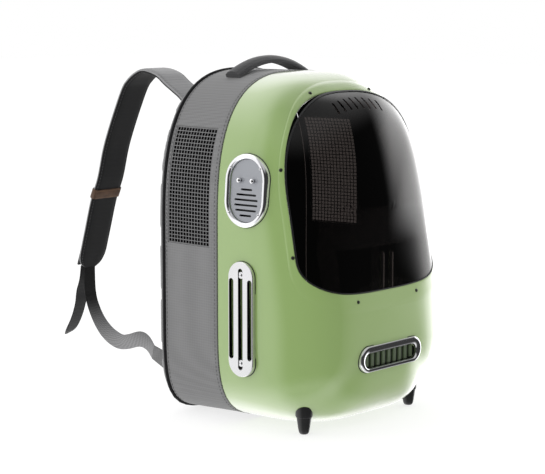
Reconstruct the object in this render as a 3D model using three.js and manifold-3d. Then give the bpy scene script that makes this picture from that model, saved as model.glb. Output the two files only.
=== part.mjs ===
import * as THREE from "three";
import Module from "manifold-3d";

const wasm = await Module();
wasm.setup();

// Bubble pet carrier backpack, in millimetres. X runs across, Y from the domed front
// (negative) to the shoulder straps (positive), Z up from the floor. Y is 0 on the seam
// between the hard front shell and the cloth bag, X is 0 on the plane of symmetry.
const WIDTH = 295;
const HEIGHT = 430;
const SHELL_DEPTH = 151.7;
const BAG_DEPTH = 93.5;
const WALL = 3;
const WINDOW_WALL = 2;
const FIT = 0.3;
const FRAME_PROUD = 0.8;
const PIPING_RADIUS = 2;
const BOARD = 7.7;
const RIB_PROUD = 6;
const STRAP_REACH = 200;
const STRAP_WIDTH = 46;
const STRAP_THICK = 6;
const STRAP_X = 62;
const WEBBING_WIDTH = 20;
const WEBBING_THICK = 1.4;
// How far a cutter runs past the faces it cuts.
const PAST = 2 * WALL;

const HALF = WIDTH / 2;
const up = (share) => share * HEIGHT;
const lerp = (a, b, t) => a + (b - a) * t;
const mixOutline = (a, b, t) =>
  Object.fromEntries(Object.keys(a).map((key) => [key, lerp(a[key], b[key], t)]));

// How much narrower than the seam each side of these outlines is.
const NARROWER = { back: 6.8, flange: 11.5, window: 16.5 };

// An outline in the front view: a superellipse arc below "low", straight sides, and
// another arc above "high".
const SEAM = {
  half: HALF,
  base: up(0.007),
  low: up(0.3488),
  high: up(0.5581),
  top: HEIGHT,
  powerLow: 4.15,
  powerTop: 2.85,
};
const BACK = {
  half: HALF - NARROWER.back,
  base: PIPING_RADIUS,
  low: up(0.3488),
  high: up(0.5465),
  top: HEIGHT,
  powerLow: 5,
  powerTop: 2.68,
};
const FLANGE = {
  half: HALF - NARROWER.flange,
  base: up(0.3442),
  low: up(0.5163),
  high: up(0.6279),
  top: up(0.9733),
  powerLow: 3.9,
  powerTop: 2.45,
};
const WINDOW = {
  half: HALF - NARROWER.window,
  base: up(0.3914),
  low: up(0.5163),
  high: up(0.6279),
  top: up(0.9474),
  powerLow: 3.4,
  powerTop: 2.7,
};
const LOW_STEPS = 8;
const SIDE_STEPS = 3;
const TOP_STEPS = 8;
const HALF_ROUND = LOW_STEPS + SIDE_STEPS + TOP_STEPS;
const ROUND = 2 * HALF_ROUND;

function inset(outline, by) {
  return {
    ...outline,
    half: outline.half - by,
    base: outline.base + by,
    top: outline.top - by,
  };
}

// Point number k of an outline, counted from its lowest point up the +X side.
function rimPoint(outline, k) {
  const mirrored = k > HALF_ROUND;
  const step = mirrored ? ROUND - k : k;
  const arc = (angle, power) => {
    const c = Math.max(Math.cos(angle), 0);
    const s = Math.max(Math.sin(angle), 0);
    const r = (c ** power + s ** power) ** (-1 / power);
    return [r * c, r * s];
  };
  let x = outline.half;
  let z;
  if (step < LOW_STEPS) {
    const angle = (Math.PI / 2) * (1 - step / LOW_STEPS);
    const [across, down] = arc(angle, outline.powerLow);
    x = outline.half * across;
    z = outline.low - (outline.low - outline.base) * down;
  } else if (step <= LOW_STEPS + SIDE_STEPS) {
    z = lerp(outline.low, outline.high, (step - LOW_STEPS) / SIDE_STEPS);
  } else {
    const angle = ((Math.PI / 2) * (step - LOW_STEPS - SIDE_STEPS)) / TOP_STEPS;
    const [across, rise] = arc(angle, outline.powerTop);
    x = outline.half * across;
    z = outline.high + (outline.top - outline.high) * rise;
  }
  return [mirrored ? -x : x, z];
}
const rim = (outline) => Array.from({ length: ROUND }, (_, k) => rimPoint(outline, k));

// Half width of an outline at a height.
function halfWidthAt(outline, z) {
  const above = z > outline.high;
  const below = z < outline.low;
  if (!above && !below) return outline.half;
  const reach = above ? outline.top - outline.high : outline.low - outline.base;
  const t = (above ? z - outline.high : outline.low - z) / reach;
  const power = above ? outline.powerTop : outline.powerLow;
  return outline.half * Math.max(1 - t ** power, 0) ** (1 / power);
}

// The domed front. Level curves in the front view are scaled seam outlines, and each
// section towards the front is a superellipse whose power varies with height and side.
const DOME = {
  taper: 0.204,
  taperFrom: up(0.3093),
  taperBlend: up(0.0295),
  sideDrop: 35.7,
  sidePower: 5.7,
  powerFrom: up(0.279),
  powerTo: up(0.7442),
  powerLow: 7.04,
  powerHigh: 8.45,
  powerCrown: 3.73,
  powerBase: 5.05,
  powerShoulder: -1.32,
  powerCorner: -1.96,
};
function domeAt(x, z) {
  const above = z > SEAM.high;
  const below = z < SEAM.low;
  const reach = above ? SEAM.top - SEAM.high : SEAM.low - SEAM.base;
  let t = 0;
  if (above) t = (z - SEAM.high) / reach;
  if (below) t = (SEAM.low - z) / reach;
  const n = above ? SEAM.powerTop : SEAM.powerLow;
  const side = Math.abs(x / HALF);
  const level = side ** n + t ** n;
  const q = level > 0 ? t ** n / level : 0;
  const { taper, taperFrom, taperBlend } = DOME;
  const lean = taperBlend * Math.log(1 + Math.exp((z - taperFrom) / taperBlend));
  const depth = SHELL_DEPTH - taper * lean - DOME.sideDrop * side ** DOME.sidePower;
  const climb = (z - DOME.powerFrom) / (DOME.powerTo - DOME.powerFrom);
  const plain = lerp(DOME.powerLow, DOME.powerHigh, THREE.MathUtils.clamp(climb, 0, 1));
  const end = above ? DOME.powerCrown : DOME.powerBase;
  const corner = above ? DOME.powerShoulder : DOME.powerCorner;
  const power = lerp(plain, end, q) + 4 * q * (1 - q) * corner;
  return { level: level ** (1 / n), depth, power };
}
function domeDepth(x, z) {
  const { level, depth, power } = domeAt(x, z);
  return depth * Math.max(1 - Math.min(level, 1) ** power, 0) ** (1 / power);
}
function domeNormal([x, y, z]) {
  const field = (a, b, c) => {
    const { level, depth, power } = domeAt(a, c);
    return level ** power + Math.abs(b / depth) ** power;
  };
  const h = 0.05;
  return new THREE.Vector3(
    field(x + h, y, z) - field(x - h, y, z),
    field(x, y + h, z) - field(x, y - h, z),
    field(x, y, z + h) - field(x, y, z - h),
  ).normalize();
}
function domeSkin(x, z, offset) {
  const point = [x, -domeDepth(x, z), z];
  const normal = domeNormal(point);
  return [
    point[0] + offset * normal.x,
    Math.min(point[1] + offset * normal.y, -FIT / 2),
    point[2] + offset * normal.z,
  ];
}
// Distance of the dome's side from the plane of symmetry, at a depth and height.
function domeSide(y, z) {
  let low = 0;
  let high = HALF;
  for (let i = 0; i < 40; i++) {
    const middle = (low + high) / 2;
    if (domeDepth(middle, z) > -y) low = middle;
    else high = middle;
  }
  return low;
}

// The window swells forward of the dome near its top, into a brow with vent slots.
const BROW = { swell: 20, sidePower: 1.5, topPower: 10, lowShare: 0.15 };
function windowDepth(x, z) {
  const across = Math.max(1 - (x / WINDOW.half) ** 2, 0) ** BROW.sidePower;
  const above = THREE.MathUtils.clamp((z - WINDOW.high) / (WINDOW.top - WINDOW.high), 0, 1);
  const below = THREE.MathUtils.clamp((WINDOW.low - z) / (WINDOW.low - WINDOW.base), 0, 1);
  const climb = THREE.MathUtils.clamp((z - WINDOW.low) / (WINDOW.high - WINDOW.low), 0, 1);
  const share = lerp(BROW.lowShare, 1, climb) * (1 - above ** BROW.topPower) * (1 - below ** 2);
  return domeDepth(x, z) + BROW.swell * across * share;
}
function windowSkin(x, z, offset) {
  const h = 0.3;
  const slopeX = (windowDepth(x + h, z) - windowDepth(x - h, z)) / (2 * h);
  const slopeZ = (windowDepth(x, z + h) - windowDepth(x, z - h)) / (2 * h);
  const normal = new THREE.Vector3(-slopeX, -1, -slopeZ).normalize();
  return [
    x + offset * normal.x,
    -windowDepth(x, z) + offset * normal.y,
    z + offset * normal.z,
  ];
}

// Closed solids.
function solidOf(points, faces) {
  let volume = 0;
  for (const [a, b, c] of faces) {
    const [p, q, r] = [points[a], points[b], points[c]];
    volume +=
      p[0] * (q[1] * r[2] - q[2] * r[1]) +
      p[1] * (q[2] * r[0] - q[0] * r[2]) +
      p[2] * (q[0] * r[1] - q[1] * r[0]);
  }
  const outward = volume < 0 ? faces.map(([a, b, c]) => [a, c, b]) : faces;
  return new wasm.Manifold(
    new wasm.Mesh({
      numProp: 3,
      vertProperties: new Float32Array(points.flat()),
      triVerts: new Uint32Array(outward.flat()),
    }),
  );
}
const middleOf = (ring) => [0, 1, 2].map((i) => ring.reduce((sum, p) => sum + p[i], 0) / ring.length);

// A solid skinned over rings of points: closed at both ends by fans, or joined round.
// Each four-sided patch is folded along its shorter diagonal.
const EVEN = 1e-6;
function loft(rings, joined = false) {
  const n = rings[0].length;
  const points = rings.flat();
  const apart = (i, j) => Math.hypot(...[0, 1, 2].map((axis) => points[i][axis] - points[j][axis]));
  const faces = [];
  const bands = joined ? rings.length : rings.length - 1;
  for (let i = 0; i < bands; i++) {
    const a = i * n;
    const b = ((i + 1) % rings.length) * n;
    for (let k = 0; k < n; k++) {
      const next = (k + 1) % n;
      if (apart(a + k, b + next) < apart(a + next, b + k) - EVEN) {
        faces.push([a + k, a + next, b + next], [a + k, b + next, b + k]);
      } else {
        faces.push([a + k, a + next, b + k], [a + next, b + next, b + k]);
      }
    }
  }
  if (!joined) {
    [[0, 1], [(rings.length - 1) * n, -1]].forEach(([start, sense]) => {
      const centre = points.length;
      points.push(middleOf(points.slice(start, start + n)));
      for (let k = 0; k < n; k++) {
        const edge = [start + k, start + ((k + 1) % n)];
        faces.push(sense > 0 ? [centre, edge[1], edge[0]] : [centre, edge[0], edge[1]]);
      }
    });
  }
  return solidOf(points, faces);
}
const united = (solids) => solids.reduce((all, one) => all.add(one));
const without = (solid, cutters) => cutters.reduce((left, cutter) => left.subtract(cutter), solid);

// A flat ring of points with round ends, along its longer half size.
function stadium(halfU, halfV, centre = [0, 0], steps = 8) {
  const r = Math.min(halfU, halfV);
  const points = [];
  for (let end = 0; end < 2; end++) {
    for (let i = 0; i <= steps; i++) {
      const angle = Math.PI * (end + i / steps) - (halfU > halfV ? Math.PI / 2 : 0);
      const shift = end ? -1 : 1;
      points.push([
        centre[0] + r * Math.cos(angle) + (halfU > halfV ? shift * (halfU - r) : 0),
        centre[1] + r * Math.sin(angle) + (halfU > halfV ? 0 : shift * (halfV - r)),
      ]);
    }
  }
  return points;
}
const circle = (r, centre = [0, 0], steps = 12) =>
  Array.from({ length: steps }, (_, i) => [
    centre[0] + r * Math.cos((2 * Math.PI * i) / steps),
    centre[1] + r * Math.sin((2 * Math.PI * i) / steps),
  ]);
const rectangle = (halfU, halfV, centre = [0, 0]) => [
  [centre[0] - halfU, centre[1] - halfV],
  [centre[0] + halfU, centre[1] - halfV],
  [centre[0] + halfU, centre[1] + halfV],
  [centre[0] - halfU, centre[1] + halfV],
];
// Flat rings stacked at heights w, set in space by "place".
const stack = (levels, place, joined = false) =>
  loft(levels.map(({ ring, w }) => ring.map(([u, v]) => place(u, v, w))), joined);
const prism = (ring, low, high, place) =>
  stack([{ ring, w: low }, { ring, w: high }], place);

// A local frame: u and v lie in the surface, w points out of it.
function frameAt(origin, outward, upward = new THREE.Vector3(0, 0, 1)) {
  const w = outward.clone().normalize();
  const v = upward.clone().addScaledVector(w, -upward.dot(w)).normalize();
  const u = v.clone().cross(w);
  return (a, b, c) => [
    origin[0] + a * u.x + b * v.x + c * w.x,
    origin[1] + a * u.y + b * v.y + c * w.y,
    origin[2] + a * u.z + b * v.z + c * w.z,
  ];
}
const sideways = (side) => (u, v, w) => [side * w, u, v];
const forwards = (u, v, w) => [u, -w, v];
const upwards = (u, v, w) => [u, v, w];

const group = new THREE.Group();
const COLOURS = {
  shell: { color: 0xafc78c, roughness: 0.22, metalness: 0 },
  smoke: { color: 0x14161a, roughness: 0.08, metalness: 0 },
  chrome: { color: 0xd5d6d8, roughness: 0.08, metalness: 1 },
  plate: { color: 0x8d9096, roughness: 0.4, metalness: 0.2 },
  fins: { color: 0x4c5a45, roughness: 0.5, metalness: 0 },
  cloth: { color: 0x87888a, roughness: 0.9, metalness: 0 },
  lining: { color: 0x2c2e31, roughness: 0.9, metalness: 0 },
  net: { color: 0x1c1c1e, roughness: 0.8, metalness: 0 },
  trim: { color: 0x101012, roughness: 0.6, metalness: 0 },
  handle: { color: 0x6d6e70, roughness: 0.9, metalness: 0 },
  webbing: { color: 0x55565a, roughness: 0.85, metalness: 0 },
  leather: { color: 0x6b4a35, roughness: 0.55, metalness: 0 },
  plastic: { color: 0x18181a, roughness: 0.45, metalness: 0 },
  foot: { color: 0x232326, roughness: 0.7, metalness: 0 },
};
const materials = Object.fromEntries(
  Object.entries(COLOURS).map(([slot, look]) => [slot, new THREE.MeshStandardMaterial(look)]),
);
function piece(name, slot, solid) {
  const { numProp, vertProperties, triVerts } = solid.getMesh();
  const points = new Float32Array((vertProperties.length / numProp) * 3);
  for (let i = 0; i < points.length / 3; i++) {
    points.set(vertProperties.subarray(i * numProp, i * numProp + 3), i * 3);
  }
  const geometry = new THREE.BufferGeometry()
    .setAttribute("position", new THREE.BufferAttribute(points, 3))
    .setIndex(new THREE.BufferAttribute(triVerts, 1));
  geometry.computeVertexNormals();
  const mesh = new THREE.Mesh(geometry, materials[slot]);
  mesh.name = name;
  group.add(mesh);
}

// Front-view points of the shell, ring by ring from the seam to the window's flange.
// Each meridian is cut at even angles of its section, so the round edge gets more rings.
const SHELL_RINGS = 12;
const seamRim = rim(SEAM);
const flangeRim = rim(FLANGE);
const windowRim = rim(WINDOW);
const sectionAngle = (x, z) => {
  const { level, depth } = domeAt(x, z);
  return Math.atan2(domeDepth(x, z) / depth, level);
};
const shellGrid = Array.from({ length: SHELL_RINGS + 1 }, (_, j) =>
  seamRim.map(([sx, sz], k) => {
    const [wx, wz] = flangeRim[k];
    if (j === 0) return [sx, sz];
    if (j === SHELL_RINGS) return [wx, wz];
    const target = (sectionAngle(wx, wz) * j) / SHELL_RINGS;
    let low = 0;
    let high = 1;
    for (let i = 0; i < 30; i++) {
      const middle = (low + high) / 2;
      if (sectionAngle(lerp(sx, wx, middle), lerp(sz, wz, middle)) < target) low = middle;
      else high = middle;
    }
    return [lerp(sx, wx, low), lerp(sz, wz, low)];
  }),
);
const shellRing = (j, offset) => shellGrid[j].map(([x, z]) => domeSkin(x, z, offset));
const between = (from, to, share) =>
  from.map(([x, z], k) => [lerp(x, to[k][0], share), lerp(z, to[k][1], share)]);

const everyRing = (offset) => shellGrid.map((_, j) => shellRing(j, offset));

// The dome as one solid body with its skin moved out, to trim what is fitted on it.
const WINDOW_HEART = [0, (WINDOW.low + WINDOW.high) / 2];
const heart = windowRim.map(() => WINDOW_HEART);
function domeBody(offset) {
  const rings = everyRing(offset);
  rings.push(windowRim.map(([x, z]) => domeSkin(x, z, offset)));
  rings.push(between(windowRim, heart, 0.5).map(([x, z]) => domeSkin(x, z, offset)));
  return loft(rings);
}
const trimBody = domeBody(FIT);
const innerBody = domeBody(-WALL - FIT);

// Vents on both sides: a raised plate with three open slots.
const VENT = {
  y: -0.2793 * HALF,
  z: up(0.3237),
  halfWidth: 19.5,
  halfHeight: 70,
  proud: 4.7,
  bevel: 0.9,
  slot: 3.6,
  pitch: 14.5,
  middleSlot: 61.7,
  sideSlot: 49,
  screwAt: 53.5,
  screwRadius: 2,
  screwProud: 1.2,
  boss: 4.6,
};
const SLOT_STEPS = 2;
const OVAL_STEPS = 6;
const ventSlots = (grow) =>
  [-1, 0, 1].map((i) =>
    stadium(
      VENT.slot + grow,
      (i ? VENT.sideSlot : VENT.middleSlot) + grow,
      [VENT.y + i * VENT.pitch, VENT.z],
      SLOT_STEPS,
    ),
  );
const ventFace = domeSide(VENT.y, VENT.z) + VENT.proud;
const ventRoot = ventFace - VENT.halfWidth;
const slotCutters = (side, grow) =>
  ventSlots(grow).map((ring) => prism(ring, ventRoot - PAST, ventFace + PAST, sideways(side)));
function ventPlate(side) {
  const outer = (by) =>
    stadium(VENT.halfWidth - by, VENT.halfHeight - by, [VENT.y, VENT.z], OVAL_STEPS);
  const block = stack(
    [
      { ring: outer(0), w: ventRoot },
      { ring: outer(0), w: ventFace - VENT.bevel },
      { ring: outer(VENT.bevel), w: ventFace },
    ],
    sideways(side),
  );
  const bosses = [-1, 1].map((i) => {
    const ring = circle(VENT.boss, [VENT.y, VENT.z + i * VENT.screwAt]);
    return prism(ring, ventRoot, ventFace - VENT.bevel, sideways(side));
  });
  return united([without(block, slotCutters(side, 0)), ...bosses]).subtract(trimBody);
}

// Grille low on the front: a domed bright ring round a recessed finned plate.
const GRILLE = {
  z: up(0.2058),
  halfWidth: 60.5,
  halfHeight: 16,
  openWidth: 51.5,
  openHeight: 8.8,
  openDrop: 2,
  proud: 3.6,
  shoulder: 2,
  crest: 3.6,
  lip: 1.2,
  flange: 4,
  finSunk: 1.4,
  finPitch: 11,
  finGap: 5,
  gapShare: 0.9,
  endGapShare: 0.55,
  fins: 9,
};
const grilleSkin = domeDepth(0, GRILLE.z);
const grilleRoot = grilleSkin - 4 * WALL;
const grilleOpening = (by) =>
  stadium(
    GRILLE.openWidth - by,
    GRILLE.openHeight - by,
    [0, GRILLE.z - GRILLE.openDrop],
    OVAL_STEPS,
  );
const grilleOuter = (by) =>
  stadium(GRILLE.halfWidth - by, GRILLE.halfHeight - by, [0, GRILLE.z], OVAL_STEPS);
const grilleRing = stack(
  [
    { ring: grilleOuter(0), w: grilleRoot },
    { ring: grilleOuter(0), w: grilleSkin + GRILLE.shoulder },
    { ring: grilleOuter(GRILLE.crest / 3), w: grilleSkin + 0.8 * GRILLE.proud },
    { ring: grilleOuter(GRILLE.crest), w: grilleSkin + GRILLE.proud },
    { ring: grilleOpening(0), w: grilleSkin + GRILLE.lip },
    { ring: grilleOpening(0), w: grilleRoot },
  ],
  forwards,
  true,
).subtract(trimBody);
const finPlateFace = grilleSkin - WALL - 2 * FIT;
const finGaps = Array.from({ length: GRILLE.fins + 1 }, (_, i) => (i - GRILLE.fins / 2) * GRILLE.finPitch);
const grilleFins = without(
  united([
    prism(
      grilleOpening(-GRILLE.flange),
      finPlateFace - WALL,
      finPlateFace + WALL,
      forwards,
    ).intersect(innerBody),
    prism(grilleOpening(FIT), finPlateFace - WALL, grilleSkin - GRILLE.finSunk, forwards),
  ]),
  finGaps.map((x) => {
    const outermost = x === finGaps[0] || x === finGaps.at(-1);
    const reach = outermost ? GRILLE.endGapShare : GRILLE.gapShare;
    const ring = rectangle(
      GRILLE.finGap / 2,
      GRILLE.openHeight * reach,
      [x, GRILLE.z - GRILLE.openDrop],
    );
    return prism(ring, finPlateFace - WALL - PAST, grilleSkin + PAST, forwards);
  }),
);

// Switch panel on the -X side: a domed bright ring round a recessed slotted plate.
const PANEL = {
  y: -0.3064 * HALF,
  z: up(0.6837),
  halfWidth: 32,
  halfHeight: 44,
  plateWidth: 24.9,
  plateHeight: 37.6,
  crest: 3.2,
  plateTop: -0.8,
  plateThick: 2.5,
  slotHalf: 1.2,
  slotPitch: 6.2,
  slotTop: 1.3,
  leverApart: 10.2,
  leverUp: 12,
  leverHole: 2.3,
  screwRadius: 1.8,
  screwProud: 1.9,
  pocket: 1.4,
};
// The ring's edges: "by" is taken off its outer size or added round the plate, "down" is
// measured from its crest.
const PANEL_OUTER_EDGE = [
  { by: 0, down: 2.2 },
  { by: 1.5, down: 0.6 },
  { by: 3.4, down: 0 },
];
const PANEL_INNER_EDGE = [
  { by: 1 + FIT, down: 0.8 },
  { by: FIT, down: 2.4 },
];
const SLOT_HALF_WIDTHS = [8.75, 15.3, 18.05, 17.9, 16.1, 9.2];
const PANEL_SCREWS = [
  { u: -22.6, v: 27.2 },
  { u: 22.6, v: 27.2 },
  { u: -22.6, v: -27.2 },
  { u: 22.6, v: -27.2 },
];
const panelCentre = [-domeSide(PANEL.y, PANEL.z), PANEL.y, PANEL.z];
const onPanel = frameAt(panelCentre, domeNormal(panelCentre));
const panelRoot = -4 * WALL;
const panelOuter = (by) =>
  stadium(PANEL.halfWidth - by, PANEL.halfHeight - by, [0, 0], OVAL_STEPS);
const panelPlate = (grow) =>
  stadium(PANEL.plateWidth + grow, PANEL.plateHeight + grow, [0, 0], OVAL_STEPS);
const TURNED_SIDES = 8;
const panelRing = without(
  stack(
    [
      { ring: panelOuter(0), w: panelRoot },
      ...PANEL_OUTER_EDGE.map(({ by, down }) => ({ ring: panelOuter(by), w: PANEL.crest - down })),
      ...PANEL_INNER_EDGE.map(({ by, down }) => ({ ring: panelPlate(by), w: PANEL.crest - down })),
      { ring: panelPlate(FIT), w: panelRoot },
    ],
    onPanel,
    true,
  ),
  [
    trimBody,
    ...PANEL_SCREWS.map(({ u, v }) => {
      const ring = circle(PANEL.screwRadius + FIT, [u, v], TURNED_SIDES);
      return prism(ring, PANEL.crest - PANEL.pocket, PANEL.crest + PAST, onPanel);
    }),
  ],
);
const plateSolid = without(
  prism(panelPlate(0), PANEL.plateTop - PANEL.plateThick, PANEL.plateTop, onPanel),
  [
    ...SLOT_HALF_WIDTHS.map((half, i) => {
      const centre = [0, PANEL.slotTop - i * PANEL.slotPitch];
      return prism(stadium(half, PANEL.slotHalf, centre, SLOT_STEPS), panelRoot, PAST, onPanel);
    }),
    ...[-1, 1].map((i) => {
      const centre = [i * PANEL.leverApart, PANEL.leverUp];
      return prism(circle(PANEL.leverHole, centre, TURNED_SIDES), panelRoot, PAST, onPanel);
    }),
  ],
);
// A lever: a ball on a stem through the plate, with a collar behind that keeps it in.
const LEVER = [
  { r: 0.6, w: -3.2 },
  { r: 3, w: -3 },
  { r: 3, w: -2 },
  { r: 1.6, w: -1.8 },
  { r: 1.6, w: 2 },
  { r: 2.7, w: 2.8 },
  { r: 3.2, w: 4.4 },
  { r: 2.7, w: 6.1 },
  { r: 1.2, w: 7.1 },
];
const leverPivot = PANEL.plateTop - PANEL.plateThick / 2;
const lever = (side) => {
  const centre = [side * PANEL.leverApart, PANEL.leverUp];
  const levels = LEVER.map(({ r, w }) => ({
    ring: circle(r, centre, TURNED_SIDES),
    w: leverPivot + w,
  }));
  return stack(levels, onPanel);
};

// Front shell, window frame and window.
const shellWall = loft(
  [...everyRing(0), ...everyRing(-WALL).reverse()],
  true,
);
piece(
  "front_shell",
  "shell",
  without(shellWall, [
    ...slotCutters(1, FIT),
    ...slotCutters(-1, FIT),
    prism(grilleOpening(0), grilleRoot, grilleSkin + PAST, forwards),
    prism(panelPlate(FIT), panelRoot, -panelRoot, onPanel),
  ]),
);
// The frame's section, from the flange (share 0) to the window (share 1).
const FRAME_SECTION = [
  { share: 0, lift: 0 },
  { share: 0.08, lift: FRAME_PROUD },
  { share: 0.92, lift: FRAME_PROUD },
  { share: 1, lift: 0 },
  { share: 1, lift: -WALL },
  { share: 0, lift: -WALL },
];
const flangeInner = rim(inset(FLANGE, FIT));
piece(
  "window_frame",
  "shell",
  loft(
    FRAME_SECTION.map(({ share, lift }) =>
      between(flangeInner, windowRim, share).map(([x, z]) => domeSkin(x, z, lift))),
    true,
  ),
);
const paneRim = rim(inset(WINDOW, FIT));
const PANE_SHARES = [0, 0.04, 0.1, 0.2, 0.4, 0.72];
const paneRing = (share, offset) =>
  between(paneRim, heart, share).map(([x, z]) => windowSkin(x, z, offset));
const paneWall = loft([
  ...[...PANE_SHARES].reverse().map((share) => paneRing(share, 0)),
  ...PANE_SHARES.map((share) => paneRing(share, -WINDOW_WALL)),
]);
const BROW_SLOTS = {
  count: 8,
  pitch: 12,
  half: 1.5,
  top: up(0.9302),
  length: 13,
  droop: 5,
};
const browReach = 4 * WINDOW_WALL;
const browSlots = Array.from({ length: BROW_SLOTS.count }, (_, i) => {
  const x = (i - (BROW_SLOTS.count - 1) / 2) * BROW_SLOTS.pitch;
  const outermost = ((BROW_SLOTS.count - 1) / 2) * BROW_SLOTS.pitch;
  const top = BROW_SLOTS.top - BROW_SLOTS.droop * (x / outermost) ** 2;
  const high = new THREE.Vector3(...windowSkin(x, top, 0));
  const low = new THREE.Vector3(...windowSkin(x, top - BROW_SLOTS.length, 0));
  const along = high.clone().sub(low);
  const middle = high.clone().add(low).multiplyScalar(0.5);
  const outward = new THREE.Vector3(0, -along.z, along.y).normalize();
  const place = frameAt(middle.toArray(), outward, along);
  const ring = stadium(BROW_SLOTS.half, along.length() / 2, [0, 0], SLOT_STEPS);
  return prism(ring, -browReach, browReach, place);
});
piece("window_bubble", "smoke", without(paneWall, browSlots));

// Screws: low domed heads.
const HEAD_SIDES = 6;
const HEAD_CROWN = 0.7;
function screw(name, centre, place, r, proud) {
  const levels = [
    { ring: circle(r, centre, HEAD_SIDES), w: 0 },
    { ring: circle(r * HEAD_CROWN, centre, HEAD_SIDES), w: proud },
  ];
  piece(name, "chrome", stack(levels, place));
}
const FRAME_SCREWS = [
  { across: 0.3912, rise: 0.9447 },
  { across: 0.8847, rise: 0.744 },
  { across: 0.8983, rise: 0.5063 },
  { across: 0.3953, rise: 0.3714 },
];
const FRAME_SCREW = { radius: 2.2, proud: 1.2 };
FRAME_SCREWS.forEach(({ across, rise }, i) => {
  [-1, 1].forEach((side) => {
    const [x, z] = [side * across * HALF, up(rise)];
    const normal = domeNormal([x, -domeDepth(x, z), z]);
    const place = frameAt(domeSkin(x, z, FRAME_PROUD + FIT), normal);
    const name = "window_screw_" + (2 * i + (side > 0 ? 2 : 1));
    screw(name, [0, 0], place, FRAME_SCREW.radius, FRAME_SCREW.proud);
  });
});
piece("grille_ring", "chrome", grilleRing);
piece("grille_fins", "fins", grilleFins);
piece("switch_ring", "chrome", panelRing);
piece("switch_plate", "plate", plateSolid);
PANEL_SCREWS.forEach(({ u, v }, i) => {
  const place = (a, b, c) => onPanel(a, b, c + PANEL.crest - PANEL.pocket + FIT);
  screw("switch_screw_" + (i + 1), [u, v], place, PANEL.screwRadius, PANEL.screwProud);
});
piece("switch_lever_front", "chrome", lever(1));
piece("switch_lever_rear", "chrome", lever(-1));
[["left", -1], ["right", 1]].forEach(([label, side]) => {
  piece("vent_plate_" + label, "chrome", ventPlate(side));
  [-1, 1].forEach((i) => {
    const place = (u, v, w) => sideways(side)(u, v, w + ventFace - VENT.bevel + FIT);
    const centre = [VENT.y, VENT.z + i * VENT.screwAt];
    const name = "vent_screw_" + label + (i > 0 ? "_top" : "_low");
    screw(name, centre, place, VENT.screwRadius, VENT.screwProud);
  });
});

// Feet under the front, cut to the dome.
const FOOT = {
  x: 0.7119 * HALF,
  y: -0.6691 * SHELL_DEPTH,
  radius: 10.5,
  collar: 16.2,
  sides: 12,
};
// Shares of the foot's radius, and of the height of its collar.
const FOOT_LEVELS = [
  { wide: 0.286, rise: 0 },
  { wide: 0.61, rise: 0.086 },
  { wide: 0.771, rise: 0.278 },
  { wide: 0.81, rise: 0.494 },
  { wide: 0.81, rise: 0.926 },
  { wide: 1, rise: 1 },
  { wide: 1, rise: 3 },
];
[["left", -1], ["right", 1]].forEach(([label, side]) => {
  const centre = [side * FOOT.x, FOOT.y];
  const levels = FOOT_LEVELS.map(({ wide, rise }) => ({
    ring: circle(FOOT.radius * wide, centre, FOOT.sides),
    w: FOOT.collar * rise,
  }));
  piece("foot_" + label, "foot", stack(levels, upwards).subtract(trimBody));
});

// Cloth bag behind the seam: a padded wall with a net window in each side.
const bagOutline = (y, by = 0) => inset(mixOutline(SEAM, BACK, y / BAG_DEPTH), by);
const bagRing = (y, by) => rim(bagOutline(y, by)).map(([x, z]) => [x, y, z]);
const bagWall = loft(
  [
    bagRing(FIT / 2, 0),
    bagRing(BAG_DEPTH, 0),
    bagRing(BAG_DEPTH, WALL),
    bagRing(FIT / 2, WALL),
  ],
  true,
);
const bagBody = loft([0, BAG_DEPTH].map((y) => bagRing(y, -FIT)));
const NET = {
  front: 14,
  back: 89,
  low: up(0.5116),
  high: up(0.8465),
  columns: 3,
  rows: 6,
  edge: 4,
  bar: 3,
  thick: 1.4,
  sunk: 0.8,
};
// Edges of a row of bars and gaps: a bar, a gap, and so on, with wide bars at both ends.
function barEdges(from, to, gaps) {
  const gap = (to - from - 2 * NET.edge - (gaps - 1) * NET.bar) / gaps;
  const edges = [from];
  for (let i = 0; i < gaps; i++) {
    const start = from + NET.edge + i * (gap + NET.bar);
    edges.push(start, start + gap);
  }
  return [...edges, to];
}
function netPanel(side) {
  const columns = barEdges(NET.front + FIT, NET.back - FIT, NET.columns);
  const rows = barEdges(NET.low + FIT, NET.high - FIT, NET.rows);
  const face = (depth) =>
    rows.map((z) =>
      columns.map((y) => {
        const outline = bagOutline(y);
        return [side * (halfWidthAt(outline, z) - depth), y, z];
      }));
  const points = [...face(NET.sunk).flat(), ...face(NET.sunk + NET.thick).flat()];
  const wide = columns.length;
  const behind = wide * rows.length;
  const index = (i, j, back) => i * wide + j + (back ? behind : 0);
  const solid = (i, j) =>
    i >= 0 && j >= 0 && i < rows.length - 1 && j < wide - 1 && !(i % 2 && j % 2);
  const faces = [];
  const quad = (a, b, c, d) => faces.push([a, b, c], [a, c, d]);
  for (let i = 0; i < rows.length - 1; i++) {
    for (let j = 0; j < wide - 1; j++) {
      if (!solid(i, j)) continue;
      quad(index(i, j), index(i, j + 1), index(i + 1, j + 1), index(i + 1, j));
      quad(index(i, j, 1), index(i + 1, j, 1), index(i + 1, j + 1, 1), index(i, j + 1, 1));
      if (!solid(i - 1, j)) quad(index(i, j), index(i, j, 1), index(i, j + 1, 1), index(i, j + 1));
      if (!solid(i + 1, j))
        quad(index(i + 1, j), index(i + 1, j + 1), index(i + 1, j + 1, 1), index(i + 1, j, 1));
      if (!solid(i, j - 1)) quad(index(i, j), index(i + 1, j), index(i + 1, j, 1), index(i, j, 1));
      if (!solid(i, j + 1))
        quad(index(i, j + 1), index(i, j + 1, 1), index(i + 1, j + 1, 1), index(i + 1, j + 1));
    }
  }
  return solidOf(points, faces);
}
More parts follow.
